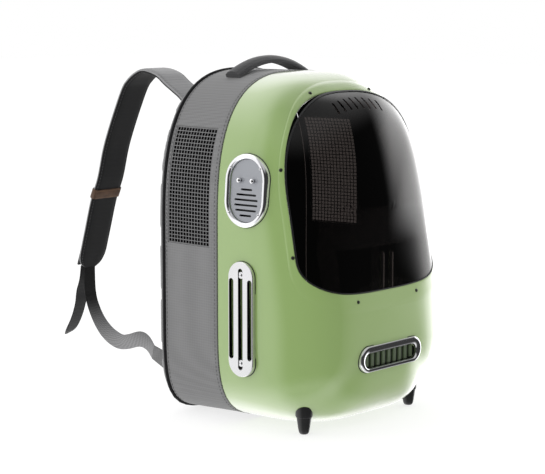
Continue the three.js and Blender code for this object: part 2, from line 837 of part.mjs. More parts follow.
const netOpening = (side) =>
  prism(
    rectangle(
      (NET.back - NET.front) / 2,
      (NET.high - NET.low) / 2,
      [(NET.back + NET.front) / 2, (NET.high + NET.low) / 2],
    ),
    HALF / 2,
    HALF + PAST,
    sideways(side),
  );
piece("cloth_bag", "cloth", without(bagWall, [netOpening(1), netOpening(-1)]));
piece("net_window_left", "net", netPanel(-1));
piece("net_window_right", "net", netPanel(1));

// Piping round the back edge.
const pipingY = BAG_DEPTH + FIT + PIPING_RADIUS;
const PIPING_SIDES = 5;
const pipingRings = Array.from({ length: PIPING_SIDES }, (_, i) => {
  const angle = (2 * Math.PI * i) / PIPING_SIDES;
  const y = pipingY + PIPING_RADIUS * Math.sin(angle);
  return rim(inset(BACK, PIPING_RADIUS * Math.cos(angle))).map(([x, z]) => [x, y, z]);
});
piece("piping", "trim", loft(pipingRings, true));

// Back panel: a board under cloth with padded ribs across it.
const boardY = pipingY + PIPING_RADIUS + FIT;
const RIB_INSET = 6;
const RIBS = [
  { low: 0.0465, high: 0.1628 },
  { low: 0.2093, high: 0.3395 },
  { low: 0.3698, high: 0.5 },
  { low: 0.5488, high: 0.6791 },
  { low: 0.7093, high: 0.8326 },
  { low: 0.8791, high: 0.9581 },
];
const ribOutline = inset(BACK, RIB_INSET);
const RIB_ROWS = 3;
// Rounding of a rib: "by" in from its outline, "down" from its face.
const RIB_EDGE = [
  { by: 0, down: 2.2 },
  { by: 2.8, down: 0 },
];
const ribFace = boardY + BOARD + RIB_PROUD;
function rib({ low, high }) {
  const rows = Array.from({ length: RIB_ROWS + 1 }, (_, i) => lerp(up(low), up(high), i / RIB_ROWS));
  const right = rows.map((z) => [halfWidthAt(ribOutline, z), z]);
  const ring = [...right, ...[...right].reverse().map(([x, z]) => [-x, z])];
  const middle = (up(low) + up(high)) / 2;
  const shrunk = (by) =>
    ring.map(([x, z]) => [x - Math.sign(x) * by, z + (z < middle ? by : -by)]);
  return stack(
    [
      { ring: ring, w: FIT - boardY - BOARD },
      ...RIB_EDGE.map(({ by, down }) => ({ ring: shrunk(by), w: down - ribFace })),
    ],
    forwards,
  );
}
const BOARD_INSET = 0.8;
const BOARD_ROUND = 1.5;
const boardRing = (by, y) => rim(inset(BACK, by)).map(([x, z]) => [x, y, z]);
const board = loft([
  boardRing(BOARD_INSET, boardY),
  boardRing(BOARD_INSET, boardY + BOARD - BOARD_ROUND),
  boardRing(BOARD_INSET + BOARD_ROUND, boardY + BOARD),
]);
piece("back_panel", "cloth", united([board, ...RIBS.map(rib)]));

// Cloth strips: sections of a strip set along a path, thick across "rise".
function strip(stations, section) {
  return loft(
    stations.map(({ at, wide, rise, half, thick }) =>
      section.map(([a, b]) => at.clone()
        .addScaledVector(wide, a * half)
        .addScaledVector(rise, b * thick)
        .toArray())),
  );
}
// Directions along a path, from the points on either side of each one.
const headings = (points) =>
  points.map((_, i) => {
    const before = points[Math.max(i - 1, 0)];
    const after = points[Math.min(i + 1, points.length - 1)];
    return after.clone().sub(before).normalize();
  });
const X_AXIS = new THREE.Vector3(1, 0, 0);
const Z_AXIS = new THREE.Vector3(0, 0, 1);

// Carry handle on top of the bag.
const HANDLE = {
  y: 46,
  half: 12,
  reach: 63,
  tuck: 4,
  rise: 15.8,
  crown: 9.4,
  steps: 10,
};
// Height of the bag's top over a point across it.
function bagTopAt(x) {
  const { half, high, top, powerTop } = bagOutline(HANDLE.y);
  const share = Math.min(x / half, 1);
  return high + (top - high) * (1 - share ** powerTop) ** (1 / powerTop);
}
const handleFoot = bagTopAt(HANDLE.reach) + FIT;
const handlePoints = Array.from({ length: HANDLE.steps + 1 }, (_, i) => {
  const x = lerp(-1, 1, i / HANDLE.steps) * (HANDLE.reach + HANDLE.tuck);
  const z = handleFoot + HANDLE.rise * (1 - (x / HANDLE.reach) ** 2);
  return new THREE.Vector3(x, HANDLE.y, z);
});
const HANDLE_SECTION = [
  { across: -1, height: 0 },
  { across: 1, height: 0 },
  { across: 1, height: 0.5 },
  { across: 0.62, height: 0.84 },
  { across: 0, height: 1 },
  { across: -0.62, height: 0.84 },
  { across: -1, height: 0.5 },
];
const handleHeadings = headings(handlePoints);
const handle = loft(
  handlePoints.map((at, i) => {
    const rise = new THREE.Vector3(-handleHeadings[i].z, 0, handleHeadings[i].x);
    return HANDLE_SECTION.map(({ across, height }) => at.clone()
      .addScaledVector(rise, height * HANDLE.crown)
      .add(new THREE.Vector3(0, across * HANDLE.half, 0))
      .toArray());
  }),
).subtract(bagBody);
piece("carry_handle", "handle", handle);

// Shoulder straps. "out" is a share of the reach behind the ribs, "rise" of the height,
// "wide" of the strap's width. The right strap hangs closer to the back.
const STRAPS = {
  left: [
    { out: 0, rise: 0.9023, wide: 1 },
    { out: 0.05, rise: 0.9233, wide: 1 },
    { out: 0.165, rise: 0.9558, wide: 1 },
    { out: 0.25, rise: 0.9814, wide: 1 },
    { out: 0.365, rise: 0.9935, wide: 1 },
    { out: 0.44, rise: 0.9826, wide: 1 },
    { out: 0.505, rise: 0.9616, wide: 1 },
    { out: 0.55, rise: 0.9381, wide: 1 },
    { out: 0.61, rise: 0.8837, wide: 1 },
    { out: 0.685, rise: 0.807, wide: 1 },
    { out: 0.738, rise: 0.7433, wide: 1 },
    { out: 0.79, rise: 0.6577, wide: 1 },
    { out: 0.855, rise: 0.5872, wide: 1 },
    { out: 0.915, rise: 0.4953, wide: 1 },
    { out: 0.96, rise: 0.4256, wide: 1 },
    { out: 0.98, rise: 0.3988, wide: 0.92 },
    { out: 0.993, rise: 0.3814, wide: 0.74 },
    { out: 1, rise: 0.3698, wide: 0.44 },
  ],
  right: [
    { out: 0, rise: 0.8953, wide: 1 },
    { out: 0.045, rise: 0.9093, wide: 1 },
    { out: 0.115, rise: 0.9233, wide: 1 },
    { out: 0.19, rise: 0.9302, wide: 1 },
    { out: 0.28, rise: 0.9256, wide: 1 },
    { out: 0.37, rise: 0.9047, wide: 1 },
    { out: 0.44, rise: 0.8651, wide: 1 },
    { out: 0.5, rise: 0.8023, wide: 1 },
    { out: 0.545, rise: 0.7209, wide: 1 },
    { out: 0.585, rise: 0.6279, wide: 1 },
    { out: 0.62, rise: 0.5233, wide: 1 },
    { out: 0.64, rise: 0.4419, wide: 1 },
    { out: 0.645, rise: 0.4093, wide: 0.92 },
    { out: 0.647, rise: 0.386, wide: 0.74 },
    { out: 0.647, rise: 0.3698, wide: 0.44 },
  ],
};
const WEBBINGS = {
  left: [
    { across: -0.42, out: 1.003, rise: 0.3651, turn: 0 },
    { across: -0.42, out: 1.003, rise: 0.3426, turn: 0 },
    { across: -0.42, out: 0.998, rise: 0.2933, turn: 0 },
    { across: -0.427, out: 0.969, rise: 0.2516, turn: 4 },
    { across: -0.447, out: 0.893, rise: 0.2058, turn: 12 },
    { across: -0.488, out: 0.776, rise: 0.1723, turn: 30 },
    { across: -0.542, out: 0.635, rise: 0.1574, turn: 55 },
    { across: -0.597, out: 0.512, rise: 0.1651, turn: 75 },
    { across: -0.671, out: 0.343, rise: 0.1867, turn: 84 },
    { across: -0.732, out: 0.228, rise: 0.1842, turn: 88 },
    { across: -0.793, out: 0.134, rise: 0.1656, turn: 90 },
  ],
  right: [
    { across: 0.42, out: 0.647, rise: 0.3651, turn: 0 },
    { across: 0.42, out: 0.645, rise: 0.3419, turn: 0 },
    { across: 0.42, out: 0.64, rise: 0.293, turn: 0 },
    { across: 0.427, out: 0.61, rise: 0.2512, turn: 4 },
    { across: 0.447, out: 0.55, rise: 0.2047, turn: 12 },
    { across: 0.488, out: 0.47, rise: 0.1767, turn: 30 },
    { across: 0.542, out: 0.4, rise: 0.1628, turn: 55 },
    { across: 0.61, out: 0.33, rise: 0.1605, turn: 75 },
    { across: 0.678, out: 0.26, rise: 0.1698, turn: 84 },
    { across: 0.732, out: 0.195, rise: 0.1744, turn: 88 },
    { across: 0.793, out: 0.134, rise: 0.1656, turn: 90 },
  ],
};
const TAILS = {
  left: [
    { out: 1.031, rise: 0.3777, wide: 1 },
    { out: 1.048, rise: 0.3293, wide: 1 },
    { out: 1.079, rise: 0.2893, wide: 1 },
    { out: 1.096, rise: 0.2467, wide: 1 },
    { out: 1.137, rise: 0.1993, wide: 1 },
    { out: 1.194, rise: 0.1588, wide: 0.9 },
    { out: 1.245, rise: 0.1398, wide: 0.2 },
  ],
  right: [
    { out: 0.679, rise: 0.3783, wide: 1 },
    { out: 0.684, rise: 0.3293, wide: 1 },
    { out: 0.693, rise: 0.2893, wide: 1 },
    { out: 0.705, rise: 0.2467, wide: 1 },
    { out: 0.725, rise: 0.2047, wide: 1 },
    { out: 0.75, rise: 0.1721, wide: 0.9 },
    { out: 0.78, rise: 0.1488, wide: 0.2 },
  ],
};
// Sections: half width by thickness, both 1 unit each way.
const PADDED = [[-0.94, -0.5], [0.94, -0.5], [1, 0], [0.94, 0.5], [-0.94, 0.5], [-1, 0]];
const FLAT = [[-1, -0.5], [1, -0.5], [1, 0.5], [-1, 0.5]];
const behindRibs = (x, out, rise) =>
  new THREE.Vector3(x, ribFace + FIT + out * STRAP_REACH, up(rise));

function strapStations(label, side, grow = 0) {
  const rows = STRAPS[label];
  const points = rows.map(({ out, rise }) => behindRibs(side * STRAP_X, out, rise));
  const ways = headings(points);
  return points.map((at, i) => ({
    at,
    wide: X_AXIS,
    rise: new THREE.Vector3(0, ways[i].z, -ways[i].y),
    half: (STRAP_WIDTH / 2) * rows[i].wide + grow,
    thick: STRAP_THICK + 2 * grow,
    way: ways[i],
  }));
}
// The band sits on one straight run of each strap, between shares of that run.
const BANDS = {
  left: { run: 11, from: 0.49, to: 0.9 },
  right: { run: 9, from: 0.1, to: 0.37 },
};
const BAND_THICK = 1.2;
const ADJUSTER = { half: 18, tall: 22, thick: 3.4, slotHalf: 13, slotTall: 2, slotAt: 5, row: 3 };
const TAB = { across: 0.7322, rise: 0.1279, half: 13, thick: 2 };
[["left", -1], ["right", 1]].forEach(([label, side]) => {
  const stations = strapStations(label, side);
  const rings = stations.map(({ at, wide, rise, half, thick }) =>
    PADDED.map(([a, b]) => at.clone()
      .addScaledVector(wide, a * half)
      .addScaledVector(rise, b * thick)));
  // The root lies flat against the ribs.
  rings[0].forEach((point) => {
    const { way } = stations[0];
    point.addScaledVector(way, (ribFace + FIT - point.y) / way.y);
  });
  piece("strap_" + label, "lining", loft(rings.map((ring) => ring.map((point) => point.toArray()))));

  const { run, from, to } = BANDS[label];
  const sleeve = (share, grow) => {
    const [a, b] = [stations[run], stations[run + 1]];
    const at = a.at.clone().lerp(b.at, share);
    const rise = a.rise.clone().lerp(b.rise, share);
    return PADDED.map(([across, deep]) => at.clone()
      .addScaledVector(X_AXIS, across * (STRAP_WIDTH / 2 + grow))
      .addScaledVector(rise, deep * (STRAP_THICK + 2 * grow))
      .toArray());
  };
  piece(
    "leather_band_" + label,
    "leather",
    loft(
      [
        sleeve(from, FIT),
        sleeve(from, FIT + BAND_THICK),
        sleeve(to, FIT + BAND_THICK),
        sleeve(to, FIT),
      ],
      true,
    ),
  );

  const seat = stations.at(-ADJUSTER.row);
  const onStrap = frameAt(seat.at.toArray(), seat.rise.clone().negate(), seat.way.clone().negate());
  const under = STRAP_THICK / 2 + FIT;
  const buckle = (ring, low, high) => prism(ring, under + low, under + high, onStrap);
  piece(
    "adjuster_" + label,
    "plastic",
    without(
      buckle(rectangle(ADJUSTER.half, ADJUSTER.tall / 2), 0, ADJUSTER.thick),
      [-1, 1].map((i) =>
        buckle(
          rectangle(ADJUSTER.slotHalf, ADJUSTER.slotTall, [0, i * ADJUSTER.slotAt]),
          -PAST,
          ADJUSTER.thick + PAST,
        )),
    ),
  );

  const webbing = WEBBINGS[label];
  const points = webbing.map(({ across, out, rise }) => behindRibs(across * HALF, out, rise));
  const tip = stations.at(-1);
  points[0] = tip.at.clone().addScaledVector(tip.way, FIT);
  const ways = headings(points);
  ways[0] = tip.way;
  const ribbon = points.map((at, i) => {
    const turn = THREE.MathUtils.degToRad(webbing[i].turn);
    const wide = X_AXIS.clone().multiplyScalar(Math.cos(turn)).addScaledVector(Z_AXIS, Math.sin(turn));
    wide.addScaledVector(ways[i], -wide.dot(ways[i])).normalize();
    const rise = ways[i].clone().cross(wide);
    return { at, wide, rise, half: WEBBING_WIDTH / 2, thick: WEBBING_THICK };
  });
  piece("webbing_" + label, "webbing", strip(ribbon, FLAT));
  const end = ribbon.at(-1);
  const root = {
    at: new THREE.Vector3(side * TAB.across * HALF, ribFace + FIT, up(TAB.rise)),
    wide: Z_AXIS,
    rise: X_AXIS.clone().multiplyScalar(Math.sign(end.rise.x)),
    half: TAB.half,
    thick: TAB.thick,
  };
  const hem = { ...end, at: end.at.clone().addScaledVector(ways.at(-1), FIT), thick: TAB.thick };
  piece("corner_tab_" + label, "cloth", strip([hem, root], FLAT));

  const tail = TAILS[label];
  const tailPoints = tail.map(({ out, rise }) => behindRibs(side * STRAP_X, out, rise));
  const buckleFoot = onStrap(0, -ADJUSTER.tall / 2 - FIT, under + ADJUSTER.thick / 2);
  tailPoints[0] = new THREE.Vector3(...buckleFoot);
  const tailWays = headings(tailPoints);
  tailWays[0] = seat.way;
  const loose = tailPoints.map((at, i) => ({
    at,
    wide: X_AXIS,
    rise: X_AXIS.clone().cross(tailWays[i]),
    half: (WEBBING_WIDTH / 2) * tail[i].wide,
    thick: WEBBING_THICK,
  }));
  piece("webbing_tail_" + label, "webbing", strip(loose, FLAT));
});

export default group;
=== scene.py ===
import math

import bmesh
import bpy
import numpy as np
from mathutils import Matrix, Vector


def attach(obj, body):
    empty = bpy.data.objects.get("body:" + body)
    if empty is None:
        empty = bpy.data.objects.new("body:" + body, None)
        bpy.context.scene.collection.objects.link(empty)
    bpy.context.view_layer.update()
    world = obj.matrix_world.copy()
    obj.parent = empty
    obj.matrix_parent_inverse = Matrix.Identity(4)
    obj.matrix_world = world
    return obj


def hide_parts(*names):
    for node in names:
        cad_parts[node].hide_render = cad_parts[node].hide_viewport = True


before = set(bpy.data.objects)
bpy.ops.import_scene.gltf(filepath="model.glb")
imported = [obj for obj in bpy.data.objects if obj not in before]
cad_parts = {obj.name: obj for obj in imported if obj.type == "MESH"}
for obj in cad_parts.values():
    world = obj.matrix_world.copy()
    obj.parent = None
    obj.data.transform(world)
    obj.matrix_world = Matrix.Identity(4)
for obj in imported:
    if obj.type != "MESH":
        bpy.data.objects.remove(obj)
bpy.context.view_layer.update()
MM = 0.001
H = 430.0
HALF = 147.5
SEAM_GAP = 0.16
VENT_HALF = (19.5, 70)
VENT_PROUD = 4.7
SLOT_HALF = 3.6
SLOT_PITCH = 14.5
MIDDLE_SLOT = 61.7
SIDE_SLOT = 49
VENT_SCREW_AT = 53.5
GRILLE_HALF = (60.5, 16)
GRILLE_OPEN = (51.5, 8.8)
GRILLE_DROP = 2
FIN_PITCH = 11
PANEL_HALF = (32, 44)
PLATE_HALF = (24.9, 37.6)
PANEL_SLOTS = [8.75, 15.3, 18.05, 17.9, 16.1, 9.2]
PANEL_SLOT_PITCH = 6.2
LEVER_AT = (10.2, 12)
HANDLE_HALF = 12
HANDLE_REACH = 63
HANDLE_RISE = 15.8
HANDLE_CROWN = 9.4
NET_Y = (14.3, 88.7)
NET_Z = (220.3, 363.7)
NET_DEPTHS = (1.05, 1.55)
FLAT_BAND = np.array(
    [(-1, -0.3), (-0.97, -0.5), (0.97, -0.5), (1, -0.3), (1, 0.3), (0.97, 0.5), (-0.97, 0.5), (-1, 0.3)]
)
scene = bpy.context.scene

# Camera, floor and light.
camera = bpy.data.objects.new("camera", bpy.data.cameras.new("camera"))
scene.collection.objects.link(camera)
camera.data.lens = 122.27
camera.data.sensor_width = 36
camera.data.clip_end = 60
camera.location = (-1.78025, -1.49247, 0.53353)
camera.rotation_mode = "QUATERNION"
camera.rotation_quaternion = Vector((0.7513, 0.64624, -0.13385)).to_track_quat("-Z", "Y")
scene.camera = camera


def mesh_object(name, vertices, faces, smooth=True, angle=35):
    data = bpy.data.meshes.new(name)
    data.from_pydata([tuple(float(c) for c in v) for v in vertices], [], faces)
    data.validate()
    work = bmesh.new()
    work.from_mesh(data)
    bmesh.ops.recalc_face_normals(work, faces=work.faces)
    work.to_mesh(data)
    work.free()
    made = bpy.data.objects.new(name, data)
    scene.collection.objects.link(made)
    if smooth:
        data.shade_smooth()
        data.set_sharp_from_angle(angle=math.radians(angle))
    return made


def loft(name, rings, joined=False, caps=True, angle=35):
    rings = [np.asarray(r, float) for r in rings]
    n = len(rings[0])
    points = np.concatenate(rings) * MM
    faces = []
    bands = len(rings) if joined else len(rings) - 1
    for i in range(bands):
        a, b = i * n, ((i + 1) % len(rings)) * n
        faces += [(a + k, a + (k + 1) % n, b + (k + 1) % n, b + k) for k in range(n)]
    if not joined and caps:
        faces += [tuple(range(n)), tuple(range(len(points) - n, len(points)))]
    return mesh_object(name, points, faces, angle=angle)


def applied(made):
    graph = bpy.context.evaluated_depsgraph_get()
    graph.update()
    data = bpy.data.meshes.new_from_object(made.evaluated_get(graph))
    made.modifiers.clear()
    made.data = data
    return made


def cut(made, cutters, angle=35):
    for cutter in cutters:
        step = made.modifiers.new("cut", "BOOLEAN")
        step.operation, step.solver, step.object = "DIFFERENCE", "EXACT", cutter
    applied(made)
    for cutter in cutters:
        bpy.data.objects.remove(cutter)
    made.data.shade_smooth()
    made.data.set_sharp_from_angle(angle=math.radians(angle))
    return made


def joined_up(name, objects):
    work = bmesh.new()
    slots = []
    for one in objects:
        for m in one.data.materials:
            if m not in slots:
                slots.append(m)
    for one in objects:
        data = one.data
        offset = len(work.faces)
        work.from_mesh(data)
        work.faces.ensure_lookup_table()
        for f in work.faces[offset:]:
            if data.materials:
                f.material_index = slots.index(data.materials[f.material_index])
    data = bpy.data.meshes.new(name)
    work.to_mesh(data)
    work.free()
    for m in slots:
        data.materials.append(m)
    made = bpy.data.objects.new(name, data)
    scene.collection.objects.link(made)
    for one in objects:
        bpy.data.objects.remove(one)
    return made


# Materials.
class Nodes:
    """A material's node tree, built by short calls."""

    def __init__(self, name):
        self.material = bpy.data.materials.new(name)
        self.material.use_nodes = True
        self.tree = self.material.node_tree
        self.shader = self.tree.nodes["Principled BSDF"]
        self.place = self.new("ShaderNodeTexCoord").outputs["Object"]

    def new(self, kind, **values):
        node = self.tree.nodes.new(kind)
        for key, value in values.items():
            setattr(node, key, value)
        return node

    def link(self, a, b):
        self.tree.links.new(a, b)

    def noise(self, scale, detail=3.0, rough=0.5):
        node = self.new("ShaderNodeTexNoise")
        node.inputs["Scale"].default_value = scale
        node.inputs["Detail"].default_value = detail
        node.inputs["Roughness"].default_value = rough
        self.link(self.place, node.inputs["Vector"])
        return node.outputs["Fac"]

    def wave(self, axis, scale, distortion=0.0):
        node = self.new("ShaderNodeTexWave", wave_type="BANDS", bands_direction=axis)
        node.inputs["Scale"].default_value = scale
        node.inputs["Distortion"].default_value = distortion
        self.link(self.place, node.inputs["Vector"])
        return node.outputs["Fac"]

    def maths(self, operation, a, b):
        node = self.new("ShaderNodeMath", operation=operation)
        for socket, value in zip(node.inputs, (a, b)):
            if isinstance(value, (int, float)):
                socket.default_value = value
            else:
                self.link(value, socket)
        return node.outputs[0]

    def ramp(self, value, stops):
        node = self.new("ShaderNodeValToRGB")
        self.link(value, node.inputs["Fac"])
        while len(node.color_ramp.elements) < len(stops):
            node.color_ramp.elements.new(0.5)
        for element, (at, colour) in zip(node.color_ramp.elements, stops):
            element.position = at
            element.color = (*colour, 1)
        return node.outputs["Color"]

    def span(self, value, low, high):
        node = self.new("ShaderNodeMapRange")
        self.link(value, node.inputs["Value"])
        node.inputs["To Min"].default_value = low
        node.inputs["To Max"].default_value = high
        return node.outputs["Result"]

    def bump(self, height, distance, strength=1.0):
        node = self.new("ShaderNodeBump")
        node.inputs["Distance"].default_value = distance
        node.inputs["Strength"].default_value = strength
        self.link(height, node.inputs["Height"])
        self.link(node.outputs["Normal"], self.shader.inputs["Normal"])

    def set(self, **values):
        for key, value in values.items():
            socket = self.shader.inputs[key.replace("_", " ")]
            if isinstance(value, bpy.types.NodeSocket):
                self.link(value, socket)
            else:
                socket.default_value = (*value, 1) if isinstance(value, tuple) and len(value) == 3 else value


def shades(colour, spread):
    return [
        tuple(max(c * (1 - spread), 0) for c in colour), tuple(min(c * (1 + spread), 1) for c in colour)
    ]


def plastic(name, colour, rough, coat=0.0, spread=0.04, grain=0.00002, metal=0.0):
    n = Nodes(name)
    dark, light = shades(colour, spread)
    n.set(Base_Color=n.ramp(n.noise(9, 2), [(0.3, dark), (0.7, light)]), Metallic=metal)
    n.set(Roughness=n.span(n.noise(140, 4), rough * 0.8, rough * 1.25))
    n.shader.inputs["Coat Weight"].default_value = coat
    n.shader.inputs["Coat Roughness"].default_value = 0.04
    n.bump(n.noise(900, 2), grain, 0.4)
    return n.material


def woven(name, colour, pitch=0.0009, spread=0.22, sheen=0.25, depth=0.0002, rough=0.85):
    n = Nodes(name)
    dark, light = shades(colour, spread)
    scale = 0.314 / pitch / 2
    threads = n.maths("ADD", n.maths("ADD", n.wave("X", scale), n.wave("Y", scale)), n.wave("Z", scale))
    weave = n.maths("MULTIPLY", threads, 0.333)
    mottle = n.noise(38, 5, 0.6)
    mixed = n.maths("ADD", n.maths("MULTIPLY", weave, 0.6), n.maths("MULTIPLY", mottle, 0.4))
    n.set(Base_Color=n.ramp(mixed, [(0.3, dark), (0.7, light)]))
    n.set(Roughness=n.span(mottle, rough - 0.07, min(rough + 0.08, 1)))
    n.shader.inputs["Sheen Weight"].default_value = sheen
    n.shader.inputs["Sheen Roughness"].default_value = 0.5
    n.shader.inputs["Specular IOR Level"].default_value = 0.25
    n.bump(n.maths("ADD", weave, n.maths("MULTIPLY", n.noise(900, 2), 0.35)), depth, 0.7)
    return n.material


def webbing_weave(name, colour):
    n = Nodes(name)
    dark, light = shades(colour, 0.3)
    rib = n.maths("ADD", n.wave("Y", 150, 0.6), n.wave("Z", 150, 0.6))
    cross = n.wave("X", 110, 0.4)
    mixed = n.maths("MULTIPLY", n.maths("ADD", rib, cross), 0.333)
    n.set(Base_Color=n.ramp(mixed, [(0.25, dark), (0.75, light)]), Roughness=0.8)
    n.shader.inputs["Sheen Weight"].default_value = 0.2
    n.bump(mixed, 0.0003, 0.7)
    return n.material


def chrome_finish(name, tint=(0.86, 0.86, 0.88), rough=0.06):
    n = Nodes(name)
    dark, light = shades(tint, 0.04)
    n.set(Base_Color=n.ramp(n.noise(14, 3), [(0.3, dark), (0.7, light)]), Metallic=1.0)
    n.set(Roughness=n.span(n.noise(90, 4), rough * 0.6, rough * 1.6))
    n.bump(n.noise(350, 2), 0.00001, 0.3)
    return n.material


def hide(name, colour):
    n = Nodes(name)
    dark, light = shades(colour, 0.3)
    grain = n.new("ShaderNodeTexVoronoi", feature="DISTANCE_TO_EDGE")
    grain.inputs["Scale"].default_value = 900
    n.link(n.place, grain.inputs["Vector"])
    n.set(Base_Color=n.ramp(n.noise(120, 5), [(0.3, dark), (0.7, light)]))
    n.set(Roughness=n.span(n.noise(200, 3), 0.42, 0.62))
    n.bump(grain.outputs["Distance"], 0.0002, 0.5)
    return n.material




def gloss_paint():
    """Pistachio lacquer, deeper where it faces the eye; the paler colour towards its edges is painted
    reflection, the sheen a gloss shows at grazing angles.
    """
    n = Nodes("pistachio_gloss")
    face = n.new("ShaderNodeLayerWeight")
    face.inputs["Blend"].default_value = 0.5
    painted_sheen_and_mottle = n.maths("ADD", face.outputs["Facing"], n.maths("MULTIPLY", n.noise(9, 2), 0.04))
    # Painted reflection: the facing ramp paints the shell pale towards its edges; the slight noise is real
    # tone.
    n.set(
        Base_Color=n.ramp(
            painted_sheen_and_mottle, [(0.25, (0.265, 0.385, 0.135)), (0.5, (0.37, 0.485, 0.235)), (0.85, (0.72, 0.78, 0.62))]
        )
    )
    n.set(Roughness=n.span(n.noise(140, 4), 0.18, 0.28))
    n.shader.inputs["Coat Weight"].default_value = 0.9
    n.shader.inputs["Coat Roughness"].default_value = 0.04
    n.bump(n.noise(900, 2), 0.00002, 0.4)
    return n.material


SHELL = gloss_paint()
CHROME = chrome_finish("bright_plate")
VENT_SILVER = chrome_finish("vent_silver", (0.7, 0.7, 0.71), 0.16)
PANEL_GREY = plastic("panel_grey", (0.3, 0.31, 0.335), 0.32, coat=0.2, metal=0.35)
# Fin colour is green painted much darker: painted shade for the recess behind the grille ring.
FIN_GREEN_SHADED = plastic("fin_green_painted_shade", (0.075, 0.105, 0.055), 0.4)
BLACK = plastic("black_plastic", (0.012, 0.012, 0.013), 0.42, spread=0.2, grain=0.00006)
SCREW_DARK = plastic("screw_dark", (0.05, 0.055, 0.045), 0.3, spread=0.15, metal=0.7)
FOOT_RUBBER = plastic("foot_black", (0.014, 0.014, 0.015), 0.38, spread=0.2, grain=0.00005)
CLOTH = woven("bag_grey", (0.185, 0.185, 0.187), pitch=0.0016, spread=0.1, depth=0.00012)
CHANNEL_CLOTH = woven("channel_grey", (0.14, 0.14, 0.142), pitch=0.0018, spread=0.16, depth=0.0004)
BACK_CLOTH = woven("back_grey", (0.29, 0.29, 0.295), pitch=0.0018, spread=0.12, depth=0.0003)
HANDLE_CLOTH = woven("handle_grey", (0.052, 0.052, 0.054), pitch=0.0016, spread=0.2)
STRAP_LIGHT = woven("strap_grey", (0.27, 0.27, 0.275), pitch=0.0016, spread=0.1, depth=0.00012)
STRAP_DARK = woven(
    "strap_charcoal", (0.013, 0.013, 0.0135), pitch=0.001, spread=0.08, sheen=0.08, depth=0.0001
)
# Near-black cloth for the inner faces: painted shade for the dark inside of the carrier.
INSIDE_SHADE = woven("inside_painted_shade", (0.007, 0.007, 0.0075), spread=0.3, sheen=0.0)
EDGE_CLOTH = woven("binding_black", (0.01, 0.01, 0.011), spread=0.3, sheen=0.1)
NET_YARN = plastic("net_yarn", (0.17, 0.17, 0.173), 0.7, spread=0.12, grain=0.0001)
WEBBING_DARK = webbing_weave("webbing_dark", (0.009, 0.009, 0.0095))


def webbing_with_painted_light():
    """Black webbing with painted light: pale grey is painted along its low run, where its turned face
    catches the light, and it stays black by the strap.
    """
    n = Nodes("webbing_painted_light")
    rib = n.maths("ADD", n.wave("Y", 150, 0.6), n.wave("Z", 150, 0.6))
    mixed = n.maths("MULTIPLY", n.maths("ADD", rib, n.wave("X", 110, 0.4)), 0.333)
    height = n.new("ShaderNodeSeparateXYZ")
    n.link(n.place, height.inputs[0])
    # Painted light: by height, the colour goes from pale grey low down to black higher up.
    painted_light_share = n.new("ShaderNodeMapRange", interpolation_type="SMOOTHSTEP")
    n.link(height.outputs["Z"], painted_light_share.inputs["Value"])
    painted_light_share.inputs["From Min"].default_value = 0.066
    painted_light_share.inputs["From Max"].default_value = 0.118
    both = n.new("ShaderNodeMix", data_type="RGBA")
    n.link(painted_light_share.outputs["Result"], both.inputs["Factor"])
    n.link(n.ramp(mixed, [(0.25, (0.19, 0.19, 0.194)), (0.75, (0.3, 0.3, 0.305))]), both.inputs["A"])
    n.link(
        n.ramp(mixed, [(0.25, (0.003, 0.003, 0.003)), (0.75, (0.009, 0.009, 0.009))]), both.inputs["B"]
    )
    n.set(Base_Color=both.outputs["Result"], Roughness=0.8)
    n.bump(mixed, 0.0003, 0.7)
    return n.material


WEBBING_PAINTED_LIGHT = webbing_with_painted_light()
LEATHER = hide("brown_leather", (0.085, 0.043, 0.022))
THREAD = plastic("thread", (0.1, 0.1, 0.104), 0.7, spread=0.2)
TAN_THREAD = plastic("tan_thread", (0.3, 0.18, 0.1), 0.7, spread=0.2)


def smoke():
    n = Nodes("smoked_clear")
    n.set(Base_Color=n.ramp(n.noise(6, 2), [(0.35, (0.03, 0.025, 0.023)), (0.65, (0.036, 0.03, 0.028))]))
    n.set(Roughness=n.span(n.noise(60, 3), 0.0, 0.03))
    n.shader.inputs["Transmission Weight"].default_value = 1.0
    n.shader.inputs["IOR"].default_value = 1.42
    return n.material


SMOKE = smoke()


def zip_teeth():
    n = Nodes("zip_teeth")
    teeth = n.maths("ADD", n.wave("Z", 110), n.wave("X", 110))
    n.set(Base_Color=n.ramp(teeth, [(0.3, (0.006, 0.007, 0.005)), (0.7, (0.045, 0.052, 0.036))]))
    n.set(Roughness=n.span(n.noise(200, 2), 0.35, 0.6))
    n.bump(teeth, 0.0004, 0.8)
    return n.material


ZIP = zip_teeth()


def wear(made, *materials):
    made.data.materials.clear()
    for m in materials:
        made.data.materials.append(m)


# Outlines and the dome.
def outline(half, base, low_z, high_z, top, power_low, power_top):
    return dict(half=half, base=base, low=low_z, high=high_z, top=top, nl=power_low, nt=power_top)


SEAM = outline(HALF, 0.007 * H, 0.3488 * H, 0.5581 * H, H, 4.15, 2.85)
BACK = outline(HALF - 6.8, 2, 0.3488 * H, 0.5465 * H, H, 5, 2.68)
FLANGE = outline(HALF - 11.5, 0.3442 * H, 0.5163 * H, 0.6279 * H, 0.9733 * H, 3.9, 2.45)
WINDOW = outline(HALF - 16.5, 0.3914 * H, 0.5163 * H, 0.6279 * H, 0.9474 * H, 3.4, 2.7)


def inset(o, by):
    return dict(o, half=o["half"] - by, base=o["base"] + by, top=o["top"] - by)


def mix(a, b, t):
    return {k: a[k] + (b[k] - a[k]) * t for k in a}


